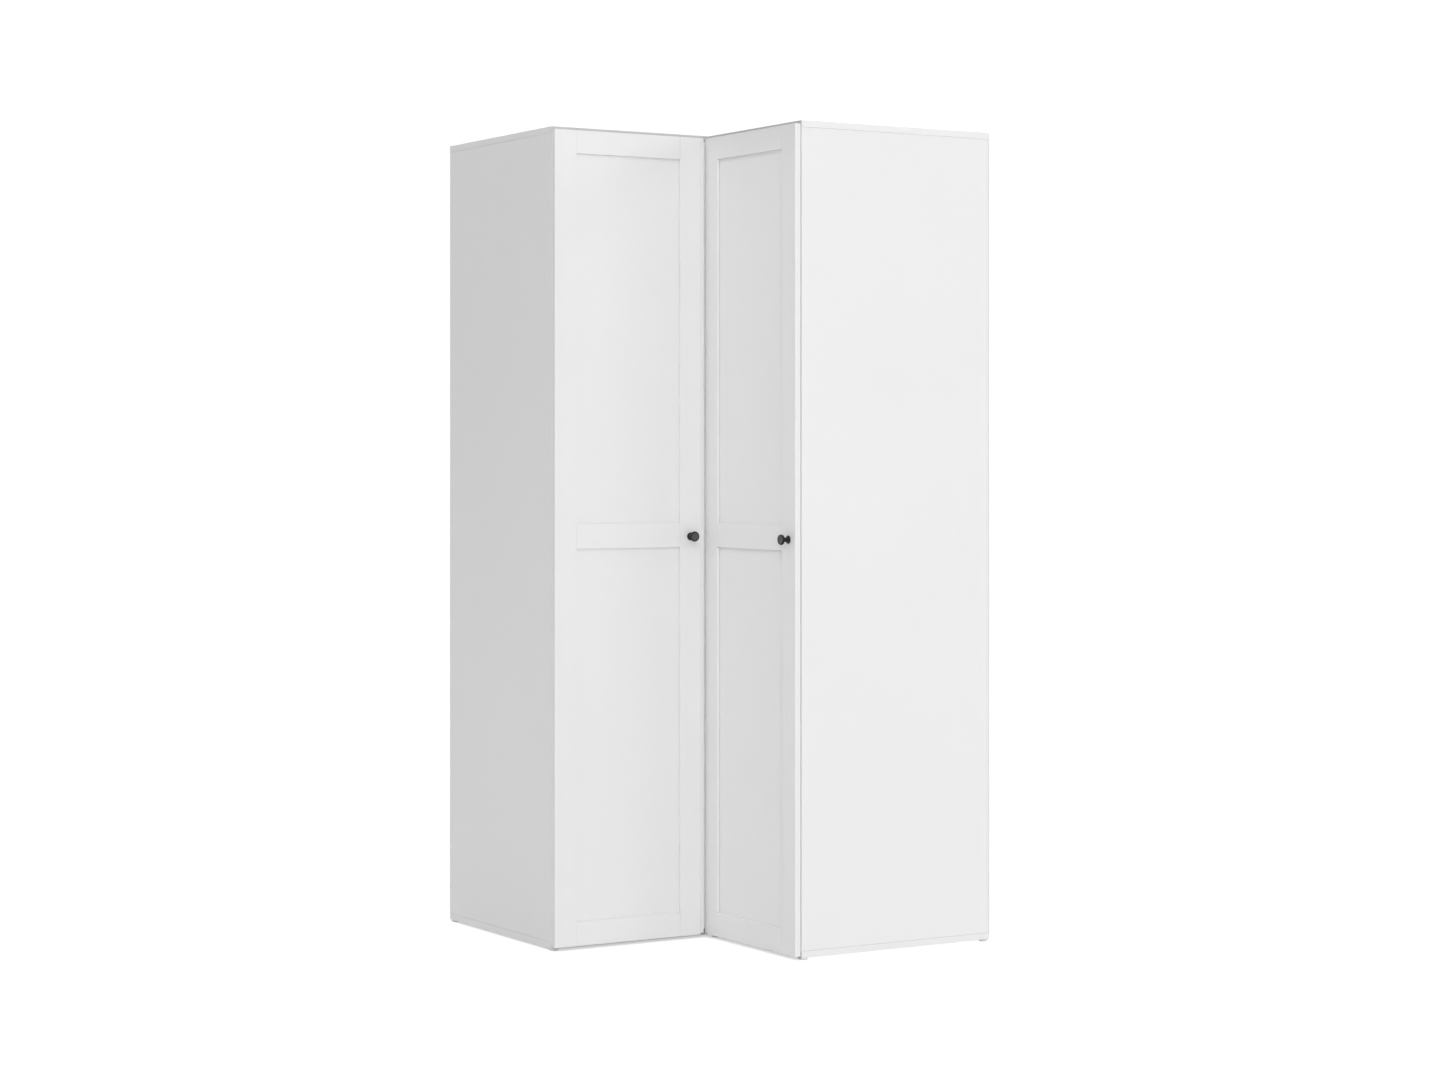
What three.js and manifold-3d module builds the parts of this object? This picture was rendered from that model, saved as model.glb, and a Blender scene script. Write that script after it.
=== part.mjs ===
// Corner wardrobe: two wings at a right angle, with one panelled door on each wing.
// Millimetres, +Z up. The origin is the middle of the footprint, on the floor.
// Inside this file the pieces are drawn from the inner corner, where the fronts of both wings
// would meet: the left wing runs from there towards -X, the right wing towards -Y, and the
// corner of the room lies towards +X and +Y.

import * as THREE from 'three';
import { mergeVertices } from 'three/addons/utils/BufferGeometryUtils.js';
import Module from 'manifold-3d';

const wasm = await Module();
wasm.setup();

// Overall sizes
const wardrobeHeight = 2020;
const leftFrontWidth = 450;
const rightFrontWidth = 430;
const wingDepth = 560;

// Boards, sheets and the small gap left between neighbours
const boardThickness = 16;
const backSheetThickness = 4;
const fitGap = 0.3;
const overrun = 2;

// Corner column beside the left door, and the cover strip that stands between both doors
const jambSetback = 29;
const columnDepth = 76;
const uprightInset = 10;
const uprightDepth = 80;
const fillerProud = 6;
const coverWidth = 9;
const coverSetback = 4;
const coverLift = 3;

// Rear corner post, and the slit between two back sheets that a joint strip covers
const postWidth = 30;
const sheetSlit = 0.8;

// Glides under the bottom board
const glideHeight = 5;
const glideRadius = 11;
const glideBevel = 1.5;
const glideNailRadius = 1.5;
const glideNailLength = 12;

// Doors: overall
const doorThickness = 16;
const doorGap = 2;
const doorTopReveal = 8;
const doorBottomReveal = 4.5;
const leftDoorInset = 35;

// Doors: stiles, rails and panels
const stileWidth = 60;
const topRailWidth = 57;
const middleRailWidth = 62;
const bottomRailWidth = 60;
const middleRailHeight = 984;
const panelThickness = 6;
const panelBackLip = 3;
const grooveDepth = 8;
const arris = 0.8;

// Knobs and the screws that hold them
const knobHeight = 1011;
const knobRadius = 13;
const knobProjection = 24;
const knobScrewHeadRadius = 4;
const knobScrewHeadThickness = 2.5;
const knobScrewRadius = 2;
const knobScrewGrip = 11;
const knobScrewSink = 0.5;

// Cup hinges
const hingeCount = 3;
const hingeEndDistance = 110;
const pinInset = 5.5;
const pinRadius = 1;
const pinSlack = 0.2;
const eyeRadius = 2.3;
const eyeSlack = 0.7;
const armWidth = 12;
const armThickness = 3;
const armLength = 50;
const cupRadius = 17.5;
const cupInset = 5;
const cupCover = 3.2;
const cupWall = 0.8;
const noseSlack = 0.4;
const noseWall = 1;
const flangeInset = 3;
const flangeHeight = 60;
const flangeThickness = 0.8;
const flangeCorner = 7;
const cupScrewOffset = 9.5;
const cupScrewEdge = 6;
const plateThickness = 2;
const plateHeight = 48;
const plateSetback = 37;
const plateWidth = 20;
const plateCorner = 5;
const plateScrewEdge = 8;

// Holes for the countersunk screws of the hinges, flanges and hangers
const screwHeadRadius = 3.2;
const screwHeadDepth = 2;
const screwRadius = 1.7;
const cupScrewLength = 11;
const plateScrewLength = 13;
const fittingScrewLength = 12;

// Hat shelf and the cleats under its ends
const hatSpace = 254;
const shelfSetback = 20;
const cleatWidth = 16;
const cleatHeight = 30;
const cleatSetback = 40;

// Clothes rails, their flanges and their hangers
const railRadius = 12.5;
const railWall = 1.2;
const railDrop = 74;
const railSetback = 290;
const railReach = 60;
const railEndOverhang = 6;
const socketBase = 3;
const socketDepth = 14;
const socketWall = 3;
const socketRim = 9.2;
const socketScrewEdge = 4.5;
const hangerWidth = 14;
const hangerPlateLength = 60;
const hangerPlateThickness = 3;
const hangerStemWidth = 12;
const hangerScrewEdge = 9;

// Wall brackets, each with a hole for the screw that goes through the back into the wall
const bracketLeg = 40;
const bracketWidth = 20;
const bracketThickness = 2.5;
const bracketHoleRadius = 2.5;
const bracketHoleDistance = 26;
const bracketDistance = 200;

// Counts of sides on round pieces
const fineSides = 24;
const middleSides = 16;
const coarseSides = 8;
const cornerSteps = 3;

// Knob outline: shares of its radius and of its projection, from the door outwards
const knobOutlineShares = [
  [0.78, 0], [0.78, 0.07], [0.55, 0.13], [0.45, 0.22], [0.45, 0.55], [0.6, 0.66],
  [0.93, 0.73], [1, 0.78], [1, 0.92], [0.93, 0.99], [0.8, 1], [0.35, 0.94],
];

// Levels and faces that follow from the sizes above
const carcassFloor = glideHeight + boardThickness;
const carcassCeiling = wardrobeHeight - boardThickness;
const uprightBottom = carcassFloor + fitGap;
const uprightTop = carcassCeiling - fitGap;
const backInner = wingDepth - backSheetThickness;
const panelRear = backInner - fitGap;
const jambOuter = -jambSetback - boardThickness;
const leftInner = -leftFrontWidth + boardThickness;
const rightInner = -rightFrontWidth + boardThickness;
const postFace = panelRear - postWidth;
const doorFront = -doorGap - doorThickness;
const doorBack = -doorGap;
const doorBottom = glideHeight + doorBottomReveal;
const doorTop = wardrobeHeight - doorTopReveal;
const panelBack = doorBack - panelBackLip;
const panelFront = panelBack - panelThickness;
const shelfHeight = carcassCeiling - hatSpace - boardThickness;
const railHeight = shelfHeight - railDrop;
const railHole = railRadius + fitGap;
const socketRadius = railHole + socketWall + socketRim;

// Hinge measures, from the door's hinge edge and the front plane of the boards
const cupX = cupInset + cupRadius;
const cupFloor = doorFront + cupCover;
const pinY = cupFloor + cupWall + eyeSlack + eyeRadius;
const noseInset = pinInset - eyeRadius - noseSlack - cupWall;
const flangeBack = doorBack + fitGap;
const flangeFace = flangeBack + flangeThickness;
const noseHalf = armWidth / 2 + noseSlack;
const plateBack = boardThickness + fitGap;
const plateFace = plateBack + plateThickness;
const lowestHinge = doorBottom + hingeEndDistance;
const hingeStep = (doorTop - hingeEndDistance - lowestHinge) / (hingeCount - 1);
const hingeLevels = Array.from({ length: hingeCount }, (_, i) => lowestHinge + i * hingeStep);

const X = new THREE.Vector3(1, 0, 0);
const Y = new THREE.Vector3(0, 1, 0);
const Z = new THREE.Vector3(0, 0, 1);
const against = (direction) => direction.clone().negate();
const point = (x, y, z) => new THREE.Vector3(x, y, z);

// Finishes
const finishes = {
  whiteFoil: { color: 0xe6e6e6, roughness: 0.5, metalness: 0 },
  blackMetal: { color: 0x16161a, roughness: 0.4, metalness: 0.6 },
  nickelSteel: { color: 0xb9bcc0, roughness: 0.3, metalness: 1 },
  zincSteel: { color: 0x9ea2a6, roughness: 0.45, metalness: 1 },
  whitePlastic: { color: 0xeceae4, roughness: 0.6, metalness: 0 },
  whiteSheet: { color: 0xd9d6d0, roughness: 0.7, metalness: 0 },
};

const wardrobe = new THREE.Group();
const plan = new THREE.Group();
plan.position.set((leftFrontWidth - wingDepth) / 2, (rightFrontWidth - wingDepth) / 2, 0);
wardrobe.add(plan);

// Each wing has a frame of its own: x runs from the door's hinge edge to its closing edge,
// y into the wardrobe, z up, and the front plane of the boards is y = 0.
const leftWing = new THREE.Group();
leftWing.position.set(-leftFrontWidth, 0, 0);
const rightWing = new THREE.Group();
rightWing.position.set(0, -uprightInset, 0);
rightWing.rotation.z = -Math.PI / 2;
plan.add(leftWing, rightWing);
leftWing.updateMatrix();
rightWing.updateMatrix();

// Solids: closed meshes with their shared vertices merged, joined and cut
function solidOf(geometry) {
  const bare = geometry.clone();
  bare.deleteAttribute('normal');
  bare.deleteAttribute('uv');
  const welded = mergeVertices(bare);
  return new wasm.Manifold(new wasm.Mesh({
    numProp: 3,
    vertProperties: new Float32Array(welded.attributes.position.array),
    triVerts: new Uint32Array(welded.index.array),
  }));
}

function geometryOf(solid) {
  const mesh = solid.getMesh();
  const geometry = new THREE.BufferGeometry();
  geometry.setAttribute('position', new THREE.BufferAttribute(new Float32Array(mesh.vertProperties), 3));
  geometry.setIndex(new THREE.BufferAttribute(new Uint32Array(mesh.triVerts), 1));
  geometry.computeVertexNormals();
  return geometry;
}

function joined(pieces) {
  return geometryOf(pieces.map(solidOf).reduce((whole, piece) => whole.add(piece)));
}

function cut(geometry, cutters) {
  return geometryOf(cutters.map(solidOf).reduce((rest, cutter) => rest.subtract(cutter), solidOf(geometry)));
}

function block(low, high) {
  const size = point(...high).sub(point(...low));
  const middle = point(...low).add(point(...high)).divideScalar(2);
  return new THREE.BoxGeometry(size.x, size.y, size.z).translate(middle.x, middle.y, middle.z);
}

function spanning(a, b) {
  return block(a.clone().min(b).toArray(), a.clone().max(b).toArray());
}

function shapeOf(points) {
  return new THREE.Shape(points.map(([x, y]) => new THREE.Vector2(x, y)));
}

function standing(points, bottom, top) {
  const geometry = new THREE.ExtrudeGeometry(shapeOf(points), { depth: top - bottom, bevelEnabled: false });
  return geometry.translate(0, 0, bottom);
}

function roundedSheet(low, high, radius, thickness) {
  const shape = new THREE.Shape();
  shape.absarc(high[0] - radius, high[1] - radius, radius, 0, Math.PI / 2);
  shape.absarc(low[0] + radius, high[1] - radius, radius, Math.PI / 2, Math.PI);
  shape.absarc(low[0] + radius, low[1] + radius, radius, Math.PI, 3 * Math.PI / 2);
  shape.absarc(high[0] - radius, low[1] + radius, radius, 3 * Math.PI / 2, 2 * Math.PI);
  shape.closePath();
  const options = { depth: thickness, bevelEnabled: false, curveSegments: cornerSteps };
  return new THREE.ExtrudeGeometry(shape, options);
}

// A turned piece from radius and height pairs. Slack widens it into the hole that it sits in.
function turned(outline, sides, slack = 0) {
  const start = slack > 0 ? -overrun : outline[0][1];
  const end = outline[outline.length - 1][1] + slack;
  const rim = outline.map(([radius, height]) => new THREE.Vector2(radius + slack, height));
  rim[0].y = start;
  rim[rim.length - 1].y = end;
  return new THREE.LatheGeometry([new THREE.Vector2(0, start), ...rim, new THREE.Vector2(0, end)], sides);
}

function rod(radius, length, sides, slack) {
  return turned([[radius, 0], [radius, length]], sides, slack);
}

// Moves a turned piece so that its foot stands at a place and its axis runs towards a direction.
function aimed(geometry, place, direction) {
  const turn = new THREE.Quaternion().setFromUnitVectors(Y, direction);
  return geometry.applyQuaternion(turn).translate(place.x, place.y, place.z);
}

// The hole of a countersunk screw whose head lies flush at a place
function screwHole(length, head, direction) {
  const outline = [[screwHeadRadius, 0], [screwRadius, screwHeadDepth], [screwRadius, length]];
  return aimed(turned(outline, coarseSides, fitGap), head, direction);
}

function add(parent, name, geometry, finish) {
  const mesh = new THREE.Mesh(geometry, new THREE.MeshStandardMaterial(finishes[finish]));
  mesh.name = name;
  parent.add(mesh);
}

// Wall brackets: one near the rear edge of each wing, under the top board
const brackets = {
  left: { corner: point(-bracketDistance, panelRear, uprightTop), out: Y, along: X },
  right: { corner: point(panelRear, -bracketDistance, uprightTop), out: X, along: Y },
};

function bracketScrewHole({ corner, out }) {
  const head = corner.clone()
    .addScaledVector(Z, -bracketThickness)
    .addScaledVector(out, -bracketHoleDistance);
  return screwHole(fittingScrewLength, head, Z);
}

function wallScrewHole({ corner, out }) {
  const foot = corner.clone()
    .addScaledVector(Z, -bracketHoleDistance)
    .addScaledVector(out, -bracketThickness);
  const length = bracketThickness + fitGap + backSheetThickness + overrun;
  return aimed(turned([[bracketHoleRadius, -overrun], [bracketHoleRadius, length]], coarseSides), foot, out);
}

function wallBracket(bracket) {
  const { corner, out, along } = bracket;
  const reach = (side, inwards, down) => corner.clone()
    .addScaledVector(along, side * bracketWidth / 2)
    .addScaledVector(out, -inwards)
    .addScaledVector(Z, -down);
  const shelfLeg = spanning(reach(-1, 0, 0), reach(1, bracketLeg, bracketThickness));
  const wallLeg = spanning(reach(-1, 0, 0), reach(1, bracketThickness, bracketLeg));
  return cut(joined([shelfLeg, wallLeg]), [bracketScrewHole(bracket), wallScrewHole(bracket)]);
}

// Glides stand under the ends of the uprights and under the rear corner.
const glideEdge = glideRadius + fitGap;
const glides = {
  left_front_glide: [-leftFrontWidth + glideEdge, glideEdge],
  left_rear_glide: [-leftFrontWidth + glideEdge, wingDepth - glideEdge],
  rear_corner_glide: [wingDepth - glideEdge, wingDepth - glideEdge],
  inner_corner_glide: [glideEdge, -uprightInset - boardThickness / 2],
  right_front_glide: [glideEdge, -rightFrontWidth + glideEdge],
  right_rear_glide: [wingDepth - glideEdge, -rightFrontWidth + glideEdge],
};

function glide([x, y]) {
  const outline = [
    [glideRadius - glideBevel, 0], [glideRadius, glideBevel], [glideRadius, glideHeight - fitGap],
    [glideNailRadius, glideHeight - fitGap], [glideNailRadius, glideHeight + glideNailLength],
  ];
  return aimed(turned(outline, middleSides), point(x, y, 0), Z);
}

function glideHole([x, y]) {
  return aimed(rod(glideNailRadius, glideNailLength, coarseSides, fitGap), point(x, y, glideHeight), Z);
}

// Top and bottom boards, both with the outline of the L
function makeBoards() {
  const outline = [
    [-leftFrontWidth, 0], [0, 0], [0, -rightFrontWidth], [wingDepth, -rightFrontWidth],
    [wingDepth, wingDepth], [-leftFrontWidth, wingDepth],
  ];
  const holes = Object.values(glides).map(glideHole);
  add(plan, 'bottom_board', cut(standing(outline, glideHeight, carcassFloor), holes), 'whiteFoil');
  const bracketHoles = Object.values(brackets).map(bracketScrewHole);
  add(plan, 'top_board', cut(standing(outline, carcassCeiling, wardrobeHeight), bracketHoles), 'whiteFoil');
  Object.entries(brackets).forEach(([name, bracket]) => {
    add(plan, `${name}_wall_bracket`, wallBracket(bracket), 'zincSteel');
  });
  Object.entries(glides).forEach(([name, place]) => add(plan, name, glide(place), 'whitePlastic'));
}

// Clothes rails: one in each wing, each from its end panel past the inner corner
const rails = {
  left: {
    face: point(leftInner, railSetback, railHeight),
    end: point(railReach, railSetback, railHeight),
    way: X,
    side: Y,
  },
  right: {
    face: point(railSetback, rightInner, railHeight),
    end: point(railSetback, railReach, railHeight),
    way: Y,
    side: X,
  },
};

function socketHoles({ face, way }) {
  const reach = socketRadius - socketScrewEdge;
  return [1, -1].map((sign) => {
    const head = face.clone().addScaledVector(way, fitGap + socketBase).addScaledVector(Z, sign * reach);
    return screwHole(fittingScrewLength, head, against(way));
  });
}

function hangerHoles({ end, side }) {
  const reach = hangerPlateLength / 2 - hangerScrewEdge;
  return [1, -1].map((sign) => {
    const head = end.clone().setZ(shelfHeight - fitGap - hangerPlateThickness);
    return screwHole(fittingScrewLength, head.addScaledVector(side, sign * reach), Z);
  });
}

function railSocket(rail) {
  const outline = [
    [socketRadius, 0], [socketRadius, socketBase], [railHole + socketWall, socketBase],
    [railHole + socketWall, socketDepth], [railHole, socketDepth], [railHole, socketBase],
  ];
  const foot = rail.face.clone().addScaledVector(rail.way, fitGap);
  return cut(aimed(turned(outline, fineSides), foot, rail.way), socketHoles(rail));
}

function clothesRail({ face, end, way }) {
  const foot = face.clone().addScaledVector(way, socketBase + 2 * fitGap);
  const length = end.clone().sub(foot).dot(way) + hangerWidth / 2 + railEndOverhang;
  const inner = railRadius - railWall;
  const ring = [[inner, 0], [railRadius, 0], [railRadius, length], [inner, length], [inner, 0]];
  const tube = new THREE.LatheGeometry(ring.map(([r, h]) => new THREE.Vector2(r, h)), fineSides);
  return aimed(tube, foot, way);
}

// A hanger is a plate under the shelf with a stem and a ring, all as thick as the hanger is wide.
function railHanger(rail) {
  const { end, way, side } = rail;
  const plateTop = railDrop - fitGap;
  const across = (reach, height) => end.clone().addScaledVector(side, reach).addScaledVector(Z, height);
  const near = -hangerWidth / 2;
  const far = hangerWidth / 2;
  const bar = (half, bottom) => spanning(
    across(-half, bottom).addScaledVector(way, near),
    across(half, plateTop).addScaledVector(way, far),
  );
  const ringFoot = end.clone().addScaledVector(way, near);
  const ring = aimed(rod(railHole + socketWall, hangerWidth, fineSides), ringFoot, way);
  const plate = bar(hangerPlateLength / 2, plateTop - hangerPlateThickness);
  const whole = joined([ring, bar(hangerStemWidth / 2, 0), plate]);
  const hole = aimed(rod(railRadius, hangerWidth + fitGap, fineSides, fitGap), ringFoot, way);
  return cut(whole, [hole, ...hangerHoles(rail)]);
}

// Hinges: an arm on a plate, screwed to the upright, and a cup let into the door
function atHinges(make) {
  return hingeLevels.flatMap((level) => make().map((piece) => piece.translate(0, 0, level)));
}

function cupScrewHoles() {
  const reach = flangeHeight / 2 - cupScrewEdge;
  return [1, -1].map((sign) => {
    const head = point(cupX + cupScrewOffset, flangeFace, sign * reach);
    return screwHole(cupScrewLength, head, against(Y));
  });
}

function plateScrewHoles() {
  const reach = plateHeight / 2 - plateScrewEdge;
  return [1, -1].map((sign) => {
    const head = point(plateFace, plateSetback, sign * reach);
    return screwHole(plateScrewLength, head, against(X));
  });
}

function hingePin(radius) {
  const half = noseHalf + noseWall / 2;
  return aimed(rod(radius, 2 * half, coarseSides), point(pinInset, pinY, -half), Z);
}

// The outline shared by a cup and its pocket: round, with a square nose around the pin
function cupBody(growth, wall, front, floor) {
  const round = aimed(rod(cupRadius + growth, front - floor, fineSides), point(cupX, floor, 0), Y);
  const half = noseHalf + wall;
  const nose = block([noseInset - growth, floor, -half], [cupX, front, half]);
  return joined([round, nose]);
}

function hingeCup() {
  const flange = roundedSheet(
    [flangeInset, -flangeHeight / 2],
    [cupX + cupRadius, flangeHeight / 2],
    flangeCorner,
    flangeThickness,
  );
  flange.rotateX(Math.PI / 2).translate(0, flangeFace, 0);
  const shell = joined([flange, cupBody(0, noseWall, flangeFace, cupFloor)]);
  const hollow = cupBody(-cupWall, 0, flangeFace + overrun, cupFloor + cupWall);
  return joined([cut(shell, [hollow, ...cupScrewHoles()]), hingePin(pinRadius)]);
}

function hingeArm() {
  const half = armWidth / 2;
  const low = pinY - armThickness / 2;
  const outer = plateFace + armThickness;
  const eye = aimed(rod(eyeRadius, armWidth, middleSides), point(pinInset, pinY, -half), Z);
  const neck = block([pinInset, low, -half], [outer, low + armThickness, half]);
  const base = block([plateFace - fitGap, low, -half], [outer, armLength, half]);
  const plate = roundedSheet(
    [plateSetback - plateWidth / 2, -plateHeight / 2],
    [plateSetback + plateWidth / 2, plateHeight / 2],
    plateCorner,
    plateThickness,
  );
  plate.applyMatrix4(new THREE.Matrix4().makeBasis(Y, Z, X)).translate(plateBack, 0, 0);
  const whole = joined([eye, neck, base, plate]);
  return cut(whole, [hingePin(pinRadius + pinSlack), ...plateScrewHoles()]);
}

function makeHinges(wing, name) {
  hingeLevels.forEach((level, i) => {
    add(wing, `${name}_hinge_arm_${i + 1}`, hingeArm().translate(0, 0, level), 'nickelSteel');
    add(wing, `${name}_hinge_cup_${i + 1}`, hingeCup().translate(0, 0, level), 'nickelSteel');
  });
}

// The filler closes the column at the front. Its cover strip stands between the two doors and
// passes in front of both boards.
function cornerFiller(upright) {
  const board = upright([-jambSetback + fitGap, -fillerProud], [-fitGap, boardThickness]);
  const coverSide = -leftDoorInset + doorGap;
  const cover = block(
    [coverSide, doorFront + coverSetback, doorBottom + coverLift],
    [coverSide + coverWidth, -fitGap, doorTop],
  );
  return joined([board, cover]);
}

// Uprights: end panels, the corner column, the hinge upright and the rear corner post
function makeUprights() {
  const upright = (low, high) => block([...low, uprightBottom], [...high, uprightTop]);
  const hingeHoles = (wing) => atHinges(plateScrewHoles).map((hole) => hole.applyMatrix4(wing.matrix));
  const leftPanel = upright([-leftFrontWidth, 0], [leftInner, panelRear]);
  const leftHoles = [...hingeHoles(leftWing), ...socketHoles(rails.left)];
  add(plan, 'left_end_panel', cut(leftPanel, leftHoles), 'whiteFoil');
  const rightPanel = upright([0, -rightFrontWidth], [panelRear, rightInner]);
  add(plan, 'right_end_panel', cut(rightPanel, socketHoles(rails.right)), 'whiteFoil');
  const jamb = upright([jambOuter, 0], [-jambSetback, columnDepth]);
  add(plan, 'corner_jamb', jamb, 'whiteFoil');
  add(plan, 'corner_filler', cornerFiller(upright), 'whiteFoil');
  const side = upright([0, -uprightInset + fitGap], [boardThickness, columnDepth]);
  add(plan, 'corner_return', side, 'whiteFoil');
  const hinged = upright([0, -uprightInset - boardThickness], [uprightDepth, -uprightInset]);
  add(plan, 'hinge_upright', cut(hinged, hingeHoles(rightWing)), 'whiteFoil');
  add(plan, 'rear_corner_post', upright([postFace, postFace], [panelRear, panelRear]), 'whiteFoil');
}

// Back sheets: two on each wall, with a narrow slit between them
function makeBack() {
  const walls = [
    { name: 'left', from: -leftFrontWidth, to: panelRear, way: X, out: Y },
    { name: 'right', from: -rightFrontWidth, to: wingDepth, way: Y, out: X },
  ];
  walls.forEach(({ name, from, to, way, out }) => {
    const middle = (from + to) / 2;
    const corner = (along, depth, level) => way.clone()
      .multiplyScalar(along)
      .addScaledVector(out, depth)
      .setZ(level);
    const sheet = (start, end) => cut(
      spanning(corner(start, backInner, uprightBottom), corner(end, wingDepth, uprightTop)),
      [wallScrewHole(brackets[name])],
    );
    add(plan, `${name}_back_sheet_outer`, sheet(from, middle - sheetSlit / 2), 'whiteSheet');
    add(plan, `${name}_back_sheet_inner`, sheet(middle + sheetSlit / 2, to), 'whiteSheet');
  });
}

// Hat shelf: follows the L of the boards, round the corner column and the rear post
function makeShelf() {
  const leftSide = leftInner + fitGap;
  const rightSide = rightInner + fitGap;
  const besideJamb = jambOuter - fitGap;
  const behindColumn = columnDepth + fitGap;
  const behindReturn = boardThickness + fitGap;
  const beforeUpright = -uprightInset + fitGap;
  const besideUpright = uprightDepth + fitGap;
  const belowUpright = -uprightInset - boardThickness - fitGap;
  const beforePost = postFace - fitGap;
  const outline = [
    [leftSide, shelfSetback], [besideJamb, shelfSetback], [besideJamb, behindColumn],
    [behindReturn, behindColumn], [behindReturn, beforeUpright], [besideUpright, beforeUpright],
    [besideUpright, belowUpright], [shelfSetback, belowUpright], [shelfSetback, rightSide],
    [panelRear, rightSide], [panelRear, beforePost], [beforePost, beforePost],
    [beforePost, panelRear], [leftSide, panelRear],
  ];
  const board = standing(outline, shelfHeight, shelfHeight + boardThickness);
  const holes = [...hangerHoles(rails.left), ...hangerHoles(rails.right)];
  add(plan, 'hat_shelf', cut(board, holes), 'whiteFoil');
  const cleatTop = shelfHeight - fitGap;
  const cleatBottom = cleatTop - cleatHeight;
  const cleatEnd = panelRear - cleatSetback;
  const leftFace = leftSide + cleatWidth;
  const rightFace = rightSide + cleatWidth;
  const leftCleat = block([leftSide, cleatSetback, cleatBottom], [leftFace, cleatEnd, cleatTop]);
  add(plan, 'left_shelf_cleat', leftCleat, 'whiteFoil');
  const rightCleat = block([cleatSetback, rightSide, cleatBottom], [cleatEnd, rightFace, cleatTop]);
  add(plan, 'right_shelf_cleat', rightCleat, 'whiteFoil');
}

function makeRails() {
  Object.entries(rails).forEach(([name, rail]) => {
    add(plan, `${name}_clothes_rail`, clothesRail(rail), 'nickelSteel');
    add(plan, `${name}_rail_socket`, railSocket(rail), 'nickelSteel');
    add(plan, `${name}_rail_hanger`, railHanger(rail), 'nickelSteel');
  });
}

// Door frame bars: a section with eased edges, and a groove where a panel enters
function barSection(width, lowGroove, highGroove) {
  const grooveFront = panelFront - fitGap;
  const grooveBack = panelBack + fitGap;
  const section = [[arris, doorFront], [width - arris, doorFront], [width, doorFront + arris]];
  if (highGroove) {
    section.push([width, grooveFront], [width - grooveDepth, grooveFront]);
    section.push([width - grooveDepth, grooveBack], [width, grooveBack]);
  }
  section.push([width, doorBack - arris], [width - arris, doorBack]);
  section.push([arris, doorBack], [0, doorBack - arris]);
  if (lowGroove) {
    section.push([0, grooveBack], [grooveDepth, grooveBack], [grooveDepth, grooveFront], [0, grooveFront]);
  }
  section.push([0, doorFront + arris]);
  return section;
}

// A rail lies between the stiles and has a tongue at each end, in the stiles' grooves.
function doorRail(width, bottom, railWidth, lowGroove, highGroove) {
  const start = stileWidth + fitGap;
  const end = width - stileWidth - fitGap;
  const bar = standing(barSection(railWidth, lowGroove, highGroove), start, end);
  bar.applyMatrix4(new THREE.Matrix4().makeBasis(Z, Y, against(X))).translate(width, 0, bottom);
  const tongueLength = grooveDepth - 2 * fitGap;
  const tongue = block(
    [start - tongueLength, panelFront, bottom + grooveDepth],
    [end + tongueLength, panelBack, bottom + railWidth - grooveDepth],
  );
  return joined([bar, tongue]);
}

function doorPanel(width, bottom, top) {
  const hold = grooveDepth - fitGap;
  const low = [stileWidth - hold, panelFront, bottom - hold];
  return block(low, [width - stileWidth + hold, panelBack, top + hold]);
}

function knobScrew(width, slack) {
  const head = point(width - stileWidth / 2, doorBack - knobScrewSink, knobHeight);
  const length = doorThickness - knobScrewSink + knobScrewGrip;
  const outline = [
    [knobScrewHeadRadius, 0], [knobScrewHeadRadius, knobScrewHeadThickness + slack],
    [knobScrewRadius, knobScrewHeadThickness + slack], [knobScrewRadius, length],
  ];
  return aimed(turned(outline, coarseSides, slack), head, against(Y));
}

function knob(width) {
  const outline = knobOutlineShares.map(([radius, reach]) => [radius * knobRadius, reach * knobProjection]);
  const foot = point(width - stileWidth / 2, doorFront - fitGap, knobHeight);
  return cut(aimed(turned(outline, fineSides), foot, against(Y)), [knobScrew(width, fitGap)]);
}

function hingeStile() {
  const bar = standing(barSection(stileWidth, false, true), doorBottom, doorTop);
  const pocket = () => [
    cupBody(fitGap, noseWall + fitGap, doorBack + overrun, cupFloor - fitGap),
    ...cupScrewHoles(),
  ];
  return cut(bar, atHinges(pocket));
}

function closingStile(width) {
  const bar = standing(barSection(stileWidth, true, false), doorBottom, doorTop);
  return cut(bar.translate(width - stileWidth, 0, 0), [knobScrew(width, fitGap)]);
}

function makeDoor(wing, name, width) {
  const middleTop = middleRailHeight + middleRailWidth;
  const topBottom = doorTop - topRailWidth;
  const bottomTop = doorBottom + bottomRailWidth;
  const piece = (title, geometry, finish = 'whiteFoil') => {
    add(wing, `${name}_door_${title}`, geometry, finish);
  };
  piece('hinge_stile', hingeStile());
  piece('closing_stile', closingStile(width));
  piece('top_rail', doorRail(width, topBottom, topRailWidth, true, false));
  piece('middle_rail', doorRail(width, middleRailHeight, middleRailWidth, true, true));
  piece('bottom_rail', doorRail(width, doorBottom, bottomRailWidth, false, true));
  piece('upper_panel', doorPanel(width, middleTop, topBottom));
  piece('lower_panel', doorPanel(width, bottomTop, middleRailHeight));
  piece('knob', knob(width), 'blackMetal');
  piece('knob_screw', knobScrew(width, 0), 'zincSteel');
}

makeBoards();
makeUprights();
makeBack();
makeShelf();
makeRails();
makeHinges(leftWing, 'left');
makeHinges(rightWing, 'right');
makeDoor(leftWing, 'left', leftFrontWidth - leftDoorInset);
makeDoor(rightWing, 'right', rightFrontWidth - uprightInset);

export default wardrobe;
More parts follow.
